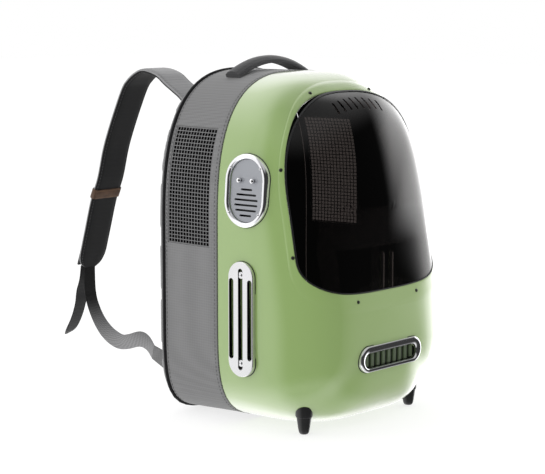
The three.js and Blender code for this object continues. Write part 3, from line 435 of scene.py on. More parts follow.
def rim(o, low_n=22, side_n=9, top_n=26):
    def arc(n, power):
        a = np.linspace(0, math.pi / 2, n + 1)
        c, s = np.cos(a).clip(0), np.sin(a).clip(0)
        r = (c**power + s**power) ** (-1 / power)
        return r * c, r * s

    c, s = arc(low_n, o["nl"])
    lower = np.stack([o["half"] * c[::-1], o["low"] - (o["low"] - o["base"]) * s[::-1]], 1)
    side = np.stack(
        [np.full(side_n - 1, o["half"]), np.linspace(o["low"], o["high"], side_n + 1)[1:-1]], 1
    )
    c, s = arc(top_n, o["nt"])
    upper = np.stack([o["half"] * c, o["high"] + (o["top"] - o["high"]) * s], 1)
    right = np.concatenate([lower, side, upper])
    left = right[1:-1][::-1] * [-1, 1]
    return np.concatenate([right, left])


def half_width(o, z):
    z = np.asarray(z, float)
    up = np.clip((z - o["high"]) / (o["top"] - o["high"]), 0, 1)
    down = np.clip((o["low"] - z) / (o["low"] - o["base"]), 0, 1)
    return o["half"] * (1 - up ** o["nt"]) ** (1 / o["nt"]) * (1 - down ** o["nl"]) ** (1 / o["nl"])


def dome(x, z):
    x, z = np.asarray(x, float), np.asarray(z, float)
    above, below = z > SEAM["high"], z < SEAM["low"]
    t = np.where(above, (z - SEAM["high"]) / (H - SEAM["high"]), 0)
    t = np.where(below, (SEAM["low"] - z) / (SEAM["low"] - SEAM["base"]), t)
    n = np.where(above, SEAM["nt"], SEAM["nl"])
    side = np.abs(x / HALF)
    total = side**n + t**n
    q = np.where(total > 0, t**n / np.maximum(total, 1e-12), 0)
    blend = 0.0295 * H
    depth = 151.7 - 0.204 * blend * np.log(1 + np.exp((z - 0.3093 * H) / blend)) - 35.7 * side**5.7
    climb = np.clip((z - 0.279 * H) / (0.4652 * H), 0, 1)
    plain = 7.04 + 1.41 * climb
    end = np.where(above, 3.73, 5.05)
    corner = np.where(above, -1.32, -1.96)
    power = plain + (end - plain) * q + 4 * q * (1 - q) * corner
    return total ** (1 / n), depth, power


def dome_depth(x, z):
    level, depth, power = dome(x, z)
    return depth * np.maximum(1 - np.minimum(level, 1) ** power, 0) ** (1 / power)


def dome_normal(p):
    def field(q):
        level, depth, power = dome(q[:, 0], q[:, 2])
        return level**power + np.abs(q[:, 1] / depth) ** power

    out = np.stack([field(p + d) - field(p - d) for d in 0.05 * np.eye(3)], 1)
    return out / np.linalg.norm(out, axis=1, keepdims=True)


def dome_skin(xz, offset):
    p = np.stack([xz[:, 0], -dome_depth(xz[:, 0], xz[:, 1]), xz[:, 1]], 1)
    p = p + np.reshape(offset, (-1, 1)) * dome_normal(p)
    p[:, 1] = np.minimum(p[:, 1], -0.15)
    return p


def window_depth(x, z):
    across = np.maximum(1 - (x / WINDOW["half"]) ** 2, 0) ** 1.5
    above = np.clip((z - WINDOW["high"]) / (WINDOW["top"] - WINDOW["high"]), 0, 1)
    below = np.clip((WINDOW["low"] - z) / (WINDOW["low"] - WINDOW["base"]), 0, 1)
    climb = np.clip((z - WINDOW["low"]) / (WINDOW["high"] - WINDOW["low"]), 0, 1)
    share = (0.15 + 0.85 * climb) * (1 - above**10) * (1 - below**2)
    return dome_depth(x, z) + 20 * across * share


def window_skin(xz, offset):
    x, z, h = xz[:, 0], xz[:, 1], 0.3
    sx = (window_depth(x + h, z) - window_depth(x - h, z)) / (2 * h)
    sz = (window_depth(x, z + h) - window_depth(x, z - h)) / (2 * h)
    normal = np.stack([-sx, -np.ones_like(sx), -sz], 1)
    normal /= np.linalg.norm(normal, axis=1, keepdims=True)
    return np.stack([x, -window_depth(x, z), z], 1) + np.reshape(offset, (-1, 1)) * normal


def dome_side(y, z):
    a, b = 0.0, HALF
    for _ in range(40):
        m = (a + b) / 2
        if dome_depth(m, z) > -y:
            a = m
        else:
            b = m
    return a


def stadium(hu, hv, centre=(0, 0), steps=16):
    r = min(hu, hv)
    wide = hu > hv
    points = []
    for end in range(2):
        for i in range(steps + 1):
            a = math.pi * (end + i / steps) - (math.pi / 2 if wide else 0)
            shift = -1 if end else 1
            points.append((
                centre[0] + r * math.cos(a) + (shift * (hu - r) if wide else 0),
                centre[1] + r * math.sin(a) + (0 if wide else shift * (hv - r)),
            ))
    return np.array(points)


def oval(half, by, centre=(0, 0), steps=16):
    """A stadium of these half sizes, drawn in by a margin."""
    return stadium(half[0] - by, half[1] - by, centre, steps)


def circle(r, centre=(0, 0), steps=28):
    a = np.linspace(0, 2 * math.pi, steps, endpoint=False)
    return np.stack([centre[0] + r * np.cos(a), centre[1] + r * np.sin(a)], 1)


def rectangle(hu, hv, centre=(0, 0)):
    return np.array([(-hu, -hv), (hu, -hv), (hu, hv), (-hu, hv)]) + centre


def stack(name, levels, place, joined=False, angle=35):
    return loft(name, [place(ring[:, 0], ring[:, 1], w) for ring, w in levels], joined, angle=angle)


def prism(ring, a, b, place, name="cutter"):
    return stack(name, [(ring, a), (ring, b)], place)


def sideways(side):
    return lambda u, v, w: np.stack([np.full_like(u, side * w), u, v], 1)


def forwards(u, v, w):
    return np.stack([u, np.full_like(u, -w), v], 1)


def frame_at(origin, outward, upward=(0, 0, 1)):
    w = np.array(outward, float)
    w /= np.linalg.norm(w)
    v = np.array(upward, float)
    v -= w * v.dot(w)
    v /= np.linalg.norm(v)
    u = np.cross(v, w)
    origin = np.array(origin, float)

    def place(a, b, c):
        a, b = np.atleast_1d(np.asarray(a, float)), np.atleast_1d(np.asarray(b, float))
        return origin + np.outer(a, u) + np.outer(b, v) + np.outer(np.broadcast_to(c, a.shape), w)

    return place


def length_of(path):
    return float(np.linalg.norm(np.diff(path, axis=0), axis=1).sum()) * MM


def put(made, materials, body="carrier", replaces=()):
    if materials:
        wear(made, *materials)
    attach(made, body)
    if replaces:
        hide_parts(*replaces)
    return made


# Hard shell.
seam_rim, flange_rim, window_rim = rim(SEAM), rim(FLANGE), rim(WINDOW)
RINGS = 34


def section_angle(xz):
    level, depth, _ = dome(xz[:, 0], xz[:, 1])
    return np.arctan2(dome_depth(xz[:, 0], xz[:, 1]) / depth, level)


grid = [seam_rim]
last = section_angle(flange_rim)
for j in range(1, RINGS):
    a, b = np.zeros(len(seam_rim)), np.ones(len(seam_rim))
    for _ in range(30):
        m = (a + b) / 2
        less = section_angle(seam_rim + (flange_rim - seam_rim) * m[:, None]) < last * j / RINGS
        a, b = np.where(less, m, a), np.where(less, b, m)
    grid.append(seam_rim + (flange_rim - seam_rim) * a[:, None])
grid.append(flange_rim)

VENT_Y, VENT_Z = -0.2793 * HALF, 0.3237 * H
VENT_FACE = dome_side(VENT_Y, VENT_Z) + VENT_PROUD


def vent_slots(side, grow):
    cutters = []
    for i in (-1, 0, 1):
        ring = stadium(
            SLOT_HALF + grow, (SIDE_SLOT if i else MIDDLE_SLOT) + grow, (VENT_Y + i * SLOT_PITCH, VENT_Z),
            8
        )
        cutters.append(prism(ring, VENT_FACE - 32, VENT_FACE + 6, sideways(side)))
    return cutters


GRILLE_Z = 0.2058 * H
GRILLE_SKIN = float(dome_depth(0, GRILLE_Z))


def grille_opening(by):
    return oval(GRILLE_OPEN, by, (0, GRILLE_Z - GRILLE_DROP))


PANEL_Y, PANEL_Z = -0.3064 * HALF, 0.6837 * H
panel_centre = np.array([-dome_side(PANEL_Y, PANEL_Z), PANEL_Y, PANEL_Z])
on_panel = frame_at(panel_centre, dome_normal(panel_centre[None])[0])


def panel_plate(grow):
    return oval(PLATE_HALF, -grow)


rings = [dome_skin(g, 0.0) for g in grid]
edge = [dome_skin(flange_rim, -0.4), dome_skin(flange_rim, -3.0)]
rings.insert(0, dome_skin(seam_rim, -0.5))
rings[0][:, 1] = -SEAM_GAP
shell = loft(
    "front_shell_skin",
    rings + edge + [dome_skin(g, -3.0) for g in grid[:-1][::-2]] + [dome_skin(seam_rim, -3.0)],
    joined=True
)
shell = cut(shell, vent_slots(1, 0.3) + vent_slots(-1, 0.3) + [
    prism(grille_opening(0), GRILLE_SKIN - 20, GRILLE_SKIN + 20, forwards),
    prism(panel_plate(0.3), -10, 10, on_panel),
])
put(shell, [SHELL, INSIDE_SHADE], replaces=["front_shell"])
# Inward faces of the shell get the near-black painted shade of the inside.
for polygon in shell.data.polygons:
    c, n = polygon.center, polygon.normal
    toward = Vector((c.x, c.y, (c.z - 0.215) * 0.7))
    if n.dot(toward) < 0 and abs(c.y) > 0.0005:
        polygon.material_index = 1


def between(a, b, share):
    return a + (b - a) * share


flange_in = rim(inset(FLANGE, 0.3))
levels = [
    (0.0, -3), (0.0, -0.4), (-0.12, -0.05), (-0.12, 0.03), (0.02, 0.4), (0.12, 0.74), (0.3, 0.86),
    (0.6, 0.88), (0.85, 0.86), (0.95, 0.7), (0.99, 0.3), (1.0, -0.4), (1.0, -3)
]
window_frame = loft(
    "window_frame_ring", [dome_skin(between(flange_in, window_rim, s), w) for s, w in levels], joined=True
)
put(window_frame, [SHELL], replaces=["window_frame"])

pane_rim = rim(inset(WINDOW, 0.3))
heart = np.zeros_like(pane_rim) + [0, (WINDOW["low"] + WINDOW["high"]) / 2]
shares = np.concatenate([[0.0, 0.004, 0.01], np.linspace(0.02, 0.985, 44) ** 1.15])
outer = [window_skin(between(pane_rim, heart, s), 0.0) for s in shares]
outer[0] = window_skin(pane_rim, -0.4)
inner = [window_skin(between(pane_rim, heart, s), -2.0) for s in shares]
bubble = loft("bubble_pane", outer[::-1] + inner, caps=True)
slots = []
for i in range(8):
    x = (i - 3.5) * 12
    top = 0.9302 * H - 5 * (x / 42) ** 2
    a = window_skin(np.array([[x, top]]), 0.0)[0]
    b = window_skin(np.array([[x, top - 13]]), 0.0)[0]
    along = a - b
    place = frame_at((a + b) / 2, (0, -along[2], along[1]), along)
    slots.append(prism(stadium(1.5, np.linalg.norm(along) / 2, steps=8), -8, 8, place))
bubble = cut(bubble, slots)
put(bubble, [SMOKE], replaces=["window_bubble"])
# A black gasket line round the window, just inside the frame.
gasket_levels = [(-0.4, 0.7), (-0.3, 0.95), (0.5, 1.05), (0.9, 0.8), (1.0, 0.2), (0.3, 0.12)]
gasket = loft(
    "window_gasket", [window_skin(rim(inset(WINDOW, i + 0.5)), w) for i, w in gasket_levels], joined=True
)
put(gasket, [BLACK])

# Small hardware.
def screw_head(name, place, centre, r, base, proud, material, node):
    heights = [(1.0, 0), (1.0, 0.3), (0.93, 0.62), (0.72, 0.9), (0.42, 1.0), (0.4, 0.62), (0.05, 0.6)]
    levels = [(circle(r * s, centre, 20), base + proud * h) for s, h in heights]
    made = stack(name, levels, place)
    put(made, [material], replaces=[node])


FRAME_SCREWS = [(0.3912, 0.9447), (0.8847, 0.744), (0.8983, 0.5063), (0.3953, 0.3714)]
for i, (across, rise) in enumerate(FRAME_SCREWS):
    for side in (-1, 1):
        xz = np.array([[side * across * HALF, rise * H]])
        at = dome_skin(xz, 1.1)[0]
        normal = dome_normal(np.array([[xz[0, 0], -float(dome_depth(xz[0, 0], xz[0, 1])), xz[0, 1]]]))[0]
        number = 2 * i + (2 if side > 0 else 1)
        screw_head(
            f"frame_screw_{number}", frame_at(at, normal), (0, 0), 2.2, -0.2, 1.4, SCREW_DARK,
            f"window_screw_{number}"
        )
for i, (u, v) in enumerate([(-22.6, 27.2), (22.6, 27.2), (-22.6, -27.2), (22.6, -27.2)]):
    screw_head(f"panel_screw_{i + 1}", on_panel, (u, v), 1.8, 2.1, 1.9, CHROME, f"switch_screw_{i + 1}")
for label, side in (("left", -1), ("right", 1)):
    for i, end in ((-1, "low"), (1, "top")):
        screw_head(
            f"vent_head_{label}_{end}", sideways(side), (VENT_Y, VENT_Z + i * VENT_SCREW_AT), 2.0,
            VENT_FACE - 0.6, 1.2, CHROME, f"vent_screw_{label}_{end}"
        )


def skin_drop(ring, place, offset):
    """Points of a ring, moved down their frame until they meet the dome."""
    lowered = []
    for u, v in ring:
        a, b = -30.0, 8.0
        for _ in range(26):
            m = (a + b) / 2
            p = place([u], [v], m)[0]
            level, depth, power = dome(p[0], p[2])
            if float(level) ** float(power) + abs(p[1] / float(depth)) ** float(power) < 1:
                a = m
            else:
                b = m
        lowered.append(a + offset)
    return np.array(lowered)


for label, side in (("left", -1), ("right", 1)):
    def ring(by):
        return oval(VENT_HALF, by, (VENT_Y, VENT_Z), 18)

    def place(u, v, w, side=side):
        u = np.atleast_1d(np.asarray(u, float))
        return np.stack([side * np.broadcast_to(w, u.shape), u, np.atleast_1d(v)], 1).astype(float)

    base = []
    for u, v in ring(0):
        base.append(dome_side(u, v) + 0.3)
    base = np.array(base)
    outer_ring = ring(0)
    foot = np.stack([side * base, outer_ring[:, 0], outer_ring[:, 1]], 1)
    inner_ring = ring(1.0)
    under = np.stack([side * base, inner_ring[:, 0], inner_ring[:, 1]], 1)
    layers = [under, foot]
    for by, w in (
        (0, VENT_FACE - 1.0), (0.15, VENT_FACE - 0.5), (0.45, VENT_FACE - 0.15), (0.9, VENT_FACE)
    ):
        r = ring(by)
        layers.append(place(r[:, 0], r[:, 1], w))
    plate = loft(f"vent_cover_{label}", layers)
    plate = cut(plate, vent_slots(side, 0.0))
    bosses = []
    for i in (-1, 1):
        c = (VENT_Y, VENT_Z + i * VENT_SCREW_AT)
        bosses.append(
            stack(
                "boss",
                [
                    (circle(4.2, c), VENT_FACE - 4.2), (circle(4.2, c), VENT_FACE - 1.2),
                    (circle(3.9, c), VENT_FACE - 0.9)
                ],
                sideways(side)
            )
        )
    wear(plate, VENT_SILVER)
    for boss in bosses:
        wear(boss, VENT_SILVER)
    plate = joined_up(f"vent_cover_{label}", [plate] + bosses)
    plate.data.shade_smooth()
    plate.data.set_sharp_from_angle(angle=math.radians(30))
    put(plate, [VENT_SILVER], replaces=[f"vent_plate_{label}"])
    # Black tunnel behind the slots, painted shade that keeps the slots dark; it is open inwards so that
    # light still passes.
    tunnel_levels = [
        (stadium(19.4, 66, (VENT_Y, VENT_Z), 12), VENT_FACE - 9),
        (stadium(19.4, 66, (VENT_Y, VENT_Z), 12), VENT_FACE - 26),
        (stadium(18.6, 65.2, (VENT_Y, VENT_Z), 12), VENT_FACE - 26),
        (stadium(18.6, 65.2, (VENT_Y, VENT_Z), 12), VENT_FACE - 9)
    ]
    tunnel = stack(f"vent_shade_tunnel_{label}", tunnel_levels, sideways(side), joined=True)
    put(tunnel, [BLACK])



def seat_line(name, outer, inner):
    """A thin black line of sealing on the shell round a trim; points lie on the shell."""
    def out(points, by):
        return points + by * dome_normal(points)
    ring_pair = [out(outer, -0.3), out(outer, 0.2), out(inner, 0.24), out(inner, -0.3)]
    made = loft(name, ring_pair, joined=True)
    put(made, [BLACK])


for label, side in (("left", -1), ("right", 1)):
    edges = []
    for by in (-0.7, 1.2):
        r = oval(VENT_HALF, by, (VENT_Y, VENT_Z), 18)
        edges.append(np.array([[side * dome_side(u, v), u, v] for u, v in r]))
    seat_line(f"vent_seat_{label}", *edges)
edges = []
for by in (-0.7, 1.2):
    r = oval(GRILLE_HALF, by, (0, GRILLE_Z), 22)
    edges.append(np.stack([r[:, 0], -dome_depth(r[:, 0], r[:, 1]), r[:, 1]], 1))
seat_line("grille_seat", *edges)
edges = []
for by in (-0.7, 1.2):
    r = oval(PANEL_HALF, by, (0, 0), 20)
    edges.append(on_panel(r[:, 0], r[:, 1], skin_drop(r, on_panel, 0.0)))
seat_line("switch_seat", *edges)

# Grille: bright ring and finned plate.
def ring_outer(by):
    return oval(GRILLE_HALF, by, (0, GRILLE_Z), 22)


def ring_open(by):
    return oval(GRILLE_OPEN, by, (0, GRILLE_Z - GRILLE_DROP), 22)


outer_ring = ring_outer(0)
foot = dome_depth(outer_ring[:, 0], outer_ring[:, 1]) + 0.3
open_ring = ring_open(0)
lip = dome_depth(open_ring[:, 0], open_ring[:, 1]) + 0.3
levels = [np.stack([outer_ring[:, 0], -foot, outer_ring[:, 1]], 1)]
for by, w in ((0.0, 1.4), (0.35, 2.3), (1.2, 3.1), (2.4, 3.55), (3.8, 3.6)):
    r = ring_outer(by)
    levels.append(forwards(r[:, 0], r[:, 1], GRILLE_SKIN + w))
for t, w in ((0.35, 3.3), (0.7, 2.5), (0.92, 1.7), (1.0, 1.0)):
    r = ring_outer(3.8) + (ring_open(0) - ring_outer(3.8)) * t
    levels.append(forwards(r[:, 0], r[:, 1], GRILLE_SKIN + w))
levels.append(np.stack([open_ring[:, 0], -lip, open_ring[:, 1]], 1))
grille_ring = loft("grille_bezel", levels, joined=True, angle=50)
put(grille_ring, [CHROME], replaces=["grille_ring"])
fin_face = GRILLE_SKIN - 3.6
parts = []
back = prism(grille_opening(-3.5), fin_face - 3, fin_face - 0.6, forwards, "plate")
parts.append(back)
for i in range(9):
    x = (i - 4) * FIN_PITCH
    tall = 8.4 if abs(x) < 42.5 else 8.4 * math.sqrt(max(1 - ((abs(x) - 42.7 + 3) / 9.2) ** 2, 0.1))
    ring_fin = rectangle(3.0, tall, (x, GRILLE_Z - GRILLE_DROP))
    slim = rectangle(2.5, tall - 0.5, (x, GRILLE_Z - GRILLE_DROP))
    parts.append(
        stack(
            "fin", [(ring_fin, fin_face - 1), (ring_fin, GRILLE_SKIN - 2.2), (slim, GRILLE_SKIN - 1.6)],
            forwards
        )
    )
for part in parts:
    wear(part, FIN_GREEN_SHADED)
# The plate behind the fins is black: painted shade for the dark behind the slats.
wear(parts[0], BLACK)
fins = joined_up("grille_fin_set", parts)
put(fins, [], replaces=["grille_fins"])

# Switch panel.
def panel_outer(by):
    return oval(PANEL_HALF, by, (0, 0), 20)


def panel_inner(by):
    return stadium(25.2 - by, 37.9 - by, (0, 0), 20)


foot_ring = panel_outer(0)
foot = skin_drop(foot_ring, on_panel, 0.3)
open_panel = panel_inner(0)
low_lip = skin_drop(open_panel, on_panel, 0.3)
levels = [on_panel(foot_ring[:, 0], foot_ring[:, 1], foot)]
for by, w in ((0.0, 0.9), (0.4, 1.9), (1.3, 2.7), (2.4, 3.15), (3.4, 3.2)):
    r = panel_outer(by)
    levels.append(on_panel(r[:, 0], r[:, 1], w))
for by, w in ((-2.0, 2.95), (-1.0, 2.4), (-0.3, 1.5), (0.0, 0.6)):
    r = panel_inner(by)
    levels.append(on_panel(r[:, 0], r[:, 1], w))
levels.append(on_panel(open_panel[:, 0], open_panel[:, 1], low_lip))
bezel = loft("switch_bezel", levels, joined=True, angle=50)
put(bezel, [CHROME], replaces=["switch_ring"])
plate = stack(
    "switch_face", [(panel_plate(0), -3.3), (panel_plate(0), -1.2), (panel_plate(-0.4), -0.8)], on_panel
)
cutters = []
for i, half in enumerate(PANEL_SLOTS):
    cutters.append(prism(stadium(half, 1.2, (0, 1.3 - i * PANEL_SLOT_PITCH), 8), -10, 5, on_panel))
for i in (-1, 1):
    cutters.append(prism(circle(2.3, (i * LEVER_AT[0], LEVER_AT[1])), -10, 5, on_panel))
plate = cut(plate, cutters)
put(plate, [PANEL_GREY], replaces=["switch_plate"])
backing = stack("switch_backing", [(panel_plate(1.5), -9.0), (panel_plate(1.5), -8.0)], on_panel)
put(backing, [BLACK])
pivot = -0.8 - 1.25
for side, name in ((1, "front"), (-1, "rear")):
    profile = [
        (0.4, -3.2), (3, -3), (3, -2), (1.6, -1.8), (1.6, 2.0), (2.0, 2.1), (2.75, 2.7), (3.15, 3.6),
        (3.2, 4.4), (3.05, 5.3), (2.5, 6.2), (1.6, 6.8), (0.5, 7.1)
    ]
    knob = stack(
        f"lever_{name}_knob",
        [(circle(r, (side * LEVER_AT[0], LEVER_AT[1])), pivot + w) for r, w in profile], on_panel
    )
    put(knob, [CHROME], body=f"lever_{name}", replaces=[f"switch_lever_{name}"])

# Feet: turned, with a collar that meets the dome. Radius and height of each edge.
FOOT_TURNED = [
    (0.5, 0), (2.8, 0), (4.5, 0.5), (5.7, 1.7), (6.5, 3.8), (7.3, 8), (8.0, 13), (8.7, 18), (9.2, 21),
    (10.1, 21.6), (10.4, 22.6)
]
for label, side in (("left", -1), ("right", 1)):
    centre = (side * 0.7119 * HALF, -0.6691 * 151.7)
    ring_top = circle(10.4, centre, 36)
    tops = []
    for u, v in ring_top:
        a, b = 0.0, 120.0
        for _ in range(26):
            m = (a + b) / 2
            if dome_depth(u, m) > -v:
                b = m
            else:
                a = m
        tops.append(a - 0.3)
    levels = []
    for r, w in FOOT_TURNED:
        under_dome = np.minimum(w, np.array(tops) - 0.2)
        levels.append(np.column_stack([circle(r, centre, 36), under_dome]))
    levels.append(np.column_stack([ring_top, tops]))
    foot_piece = loft(f"foot_{label}_turned", levels)
    put(foot_piece, [FOOT_RUBBER], replaces=[f"foot_{label}"])

# Cloth bag.
BAG = 93.5


def bag_outline(y, by=0.0):
    return inset(mix(SEAM, BACK, y / BAG), by)


def bag_ring(y, by):
    r = rim(bag_outline(y, by))
    return np.stack([r[:, 0], np.full(len(r), y), r[:, 1]], 1)


stations = np.linspace(0.15, BAG, 14)

def ring_at(shape, by, y):
    """The rim of an outline, drawn in by a margin, at one depth."""
    r = rim(inset(shape, by))
    return np.stack([r[:, 0], np.full(len(r), y), r[:, 1]], 1)


bag = loft(
    "bag_wall",
    [bag_ring(0.3, 0.5)] + [bag_ring(y, 0.0) for y in stations[1:-1]] + [bag_ring(BAG, 0.4)] + [
        bag_ring(BAG, 3.0), bag_ring(50, 3.0), bag_ring(0.3, 3.0)
    ],
    joined=True
)
window_cut = [prism(rectangle(37.5, 72, (51.5, 292)), 80, 160, sideways(s)) for s in (1, -1)]
bag = cut(bag, window_cut)
put(bag, [CLOTH, INSIDE_SHADE], replaces=["cloth_bag"])
girth = length_of(np.vstack([bag_ring(BAG / 2, 0), bag_ring(BAG / 2, 0)[:1]]))
# Inward faces of the bag get the near-black painted shade of the inside.
for polygon in bag.data.polygons:
    c, n = polygon.center, polygon.normal
    if n.dot(Vector((c.x, 0, (c.z - 0.215) * 0.7))) < 0 and abs(n.y) < 0.7:
        polygon.material_index = 1
zip_strip = loft("seam_zip", [bag_ring_y for bag_ring_y in (
    ring_at(SEAM, by, y)
    for y, by in (
        (-1.1, 0.1), (-0.9, -0.35), (0.9, -0.35), (1.1, 0.1), (0.4, 1.2), (-0.4, 1.2)
    ))], joined=True)
put(zip_strip, [ZIP])


def net_panel(name, side, node):
    cols, rows, bar = 14, 31, 0.9
    def edges(a, b, count, border):
        gap = (b - a - 2 * border - (count - 1) * bar) / count
        out = [a]
        for i in range(count):
            s = a + border + i * (gap + bar)
            out += [s, s + gap]
        return out + [b]
    ys, zs = edges(*NET_Y, cols, 1.6), edges(*NET_Z, rows, 1.6)
    points, faces = [], []
    for depth in NET_DEPTHS:
        for i, z in enumerate(zs):
            for j, y in enumerate(ys):
                o = bag_outline(y)
                points.append((side * (float(half_width(o, z)) - depth), y, z))
    wide, behind = len(ys), len(ys) * len(zs)
    def solid(i, j):
        return 0 <= i < len(zs) - 1 and 0 <= j < wide - 1 and not (i % 2 and j % 2)
    for i in range(len(zs) - 1):
        for j in range(wide - 1):
            if not solid(i, j):
                continue
            a, b, c, d = i * wide + j, i * wide + j + 1, (i + 1) * wide + j + 1, (i + 1) * wide + j
            faces.append((a, b, c, d))
            faces.append((a + behind, d + behind, c + behind, b + behind))
            for ok, (p, q) in (
                (solid(i - 1, j), (a, b)), (solid(i + 1, j), (c, d)), (solid(i, j - 1), (d, a)),
                (solid(i, j + 1), (b, c))
            ):
                if not ok:
                    faces.append((p, q, q + behind, p + behind))
    made = mesh_object(name, np.array(points) * MM, faces, smooth=False)
    put(made, [NET_YARN], replaces=[node])


net_panel("net_left_fine", -1, "net_window_left")
net_panel("net_right_fine", 1, "net_window_right")

pipe_y = BAG + 0.3 + 2
pipe = loft(
    "piping_cord",
    [
        ring_at(BACK, 2 * math.cos(a), pipe_y + 2 * math.sin(a))
        for a in np.linspace(0, 2 * math.pi, 12, endpoint=False)
    ],
    joined=True
)
put(pipe, [EDGE_CLOTH], replaces=["piping"])


# Padded pieces.
def puff(made, pressure=4.0, frames=20, cap=5.0, voxel=0.005, pin_below=None):
    """Swells a closed form as stuffed cloth, and keeps the result in its mesh."""
    step = made.modifiers.new("remesh", "REMESH")
    step.mode, step.voxel_size = "VOXEL", voxel
    applied(made)
    rest = np.array([v.co for v in made.data.vertices])
    step = made.modifiers.new("cloth", "CLOTH")
    s = step.settings
    s.quality, s.mass = 6, 0.2
    s.use_pressure, s.uniform_pressure_force = True, pressure
    s.tension_stiffness = s.compression_stiffness = 25
    s.bending_stiffness = 2
    s.effector_weights.gravity = 0
    step.collision_settings.use_collision = False
    step.point_cache.frame_start, step.point_cache.frame_end = 1, frames
    for f in range(1, frames + 1):
        scene.frame_set(f)
    graph = bpy.context.evaluated_depsgraph_get()
    moved = np.array([v.co for v in made.evaluated_get(graph).data.vertices])
    made.modifiers.clear()
    scene.frame_set(1)
    shift = moved - rest
    if pin_below is not None:
        shift *= pin_below(rest)[:, None]
    size = np.linalg.norm(shift, axis=1, keepdims=True)
    shift *= np.minimum(1, cap * MM / np.maximum(size, 1e-9))
    for v, p in zip(made.data.vertices, rest + shift):
        v.co = p
    step = made.modifiers.new("round", "SUBSURF")
    step.levels = step.render_levels = 1
    applied(made)
    made.data.shade_smooth()
    return made


BOARD_Y = pipe_y + 2 + 0.3
RIB_Y = BOARD_Y + 7.7
RIB_FACE = RIB_Y + 6
board = loft("back_board", [ring_at(BACK, by, y) for by, y in (
    (1.4, BOARD_Y), (0.8, BOARD_Y + 0.6), (0.8, BOARD_Y + 2.6), (1.7, RIB_Y - 3.6), (3.6, RIB_Y - 1.6),
    (6.2, RIB_Y - 0.4), (9, RIB_Y), (30, RIB_Y), (60, RIB_Y))])
RIBS = [
    (0.0465, 0.1628), (0.2093, 0.3395), (0.3698, 0.5), (0.5488, 0.6791), (0.7093, 0.8326),
    (0.8791, 0.9581)
]
rib_outline = inset(BACK, 6)
ribs = []
for k, (a, b) in enumerate(RIBS):
    zs = np.linspace(a * H, b * H, 9)
    half = half_width(rib_outline, zs)
    ring_rib = np.concatenate([np.stack([half, zs], 1), np.stack([-half[::-1], zs[::-1]], 1)])
    mid = (a + b) / 2 * H
    def shrunk(by, ring_rib=ring_rib, mid=mid):
        out = ring_rib.copy()
        out[:, 0] -= np.sign(out[:, 0]) * by
        out[:, 1] = mid + (out[:, 1] - mid) * (1 - by / (abs(b - a) * H / 2))
        return out
    rows = [
        (0.4, RIB_Y - 5.4), (-0.9, RIB_Y - 1), (-0.9, RIB_FACE - 3.2), (0.6, RIB_FACE - 1.3),
        (3.5, RIB_FACE - 0.4)
    ]
    one = stack(f"rib_{k}", [(shrunk(by), -w) for by, w in rows], forwards)
    ribs.append(
        puff(
            one, cap=1.4, voxel=0.003,
            pin_below=lambda p: np.clip((p[:, 1] - (RIB_Y - 1) * MM) / (2 * MM), 0, 1)
        )
    )
wear(board, CHANNEL_CLOTH, INSIDE_SHADE)
for one in ribs:
    wear(one, BACK_CLOTH)
# The board's face towards the inside gets the near-black painted shade.
for polygon in board.data.polygons:
    if polygon.normal.y < -0.9:
        polygon.material_index = 1
back_panel = joined_up("back_pad", [board] + ribs)
back_panel.data.shade_smooth()
put(back_panel, [], replaces=["back_panel"])


# Straps and webbing.
def smooth_rows(rows, steps):
    """Catmull-Rom through the rows' columns."""
    rows = np.asarray(rows, float)
    padded = np.vstack([2 * rows[0] - rows[1], rows, 2 * rows[-1] - rows[-2]])
    out = []
    for i in range(len(rows) - 1):
        p0, p1, p2, p3 = padded[i:i + 4]
        for t in np.arange(steps) / steps:
            out.append(
                0.5 * (2 * p1 + (p2 - p0) * t + (2 * p0 - 5 * p1 + 4 * p2 - p3) * t**2
                + (3 * p1 - p0 - 3 * p2 + p3) * t**3)
            )
    out.append(rows[-1])
    return np.array(out)


STRAPS = {
    "left": [
        (0, 0.9023, 1), (0.05, 0.9233, 1), (0.165, 0.9558, 1), (0.25, 0.9814, 1), (0.365, 0.9935, 1),
        (0.44, 0.9826, 1),
             (0.505, 0.9616, 1), (0.55, 0.9381, 1), (0.61, 0.8837, 1), (0.685, 0.807, 1),
             (0.738, 0.7433, 1), (0.79, 0.6577, 1),
             (0.855, 0.5872, 1), (0.915, 0.4953, 1), (0.96, 0.4256, 1), (0.98, 0.3988, 0.92),
             (0.993, 0.3814, 0.74), (1, 0.3698, 0.44)],
    "right": [
        (0, 0.8953, 1), (0.045, 0.9093, 1), (0.115, 0.9233, 1), (0.19, 0.9302, 1), (0.28, 0.9256, 1),
        (0.37, 0.9047, 1),
              (0.44, 0.8651, 1), (0.5, 0.8023, 1), (0.545, 0.7209, 1), (0.585, 0.6279, 1),
              (0.62, 0.5233, 1), (0.64, 0.4419, 1),
              (0.645, 0.4093, 0.92), (0.647, 0.386, 0.74), (0.647, 0.3698, 0.44)],
}
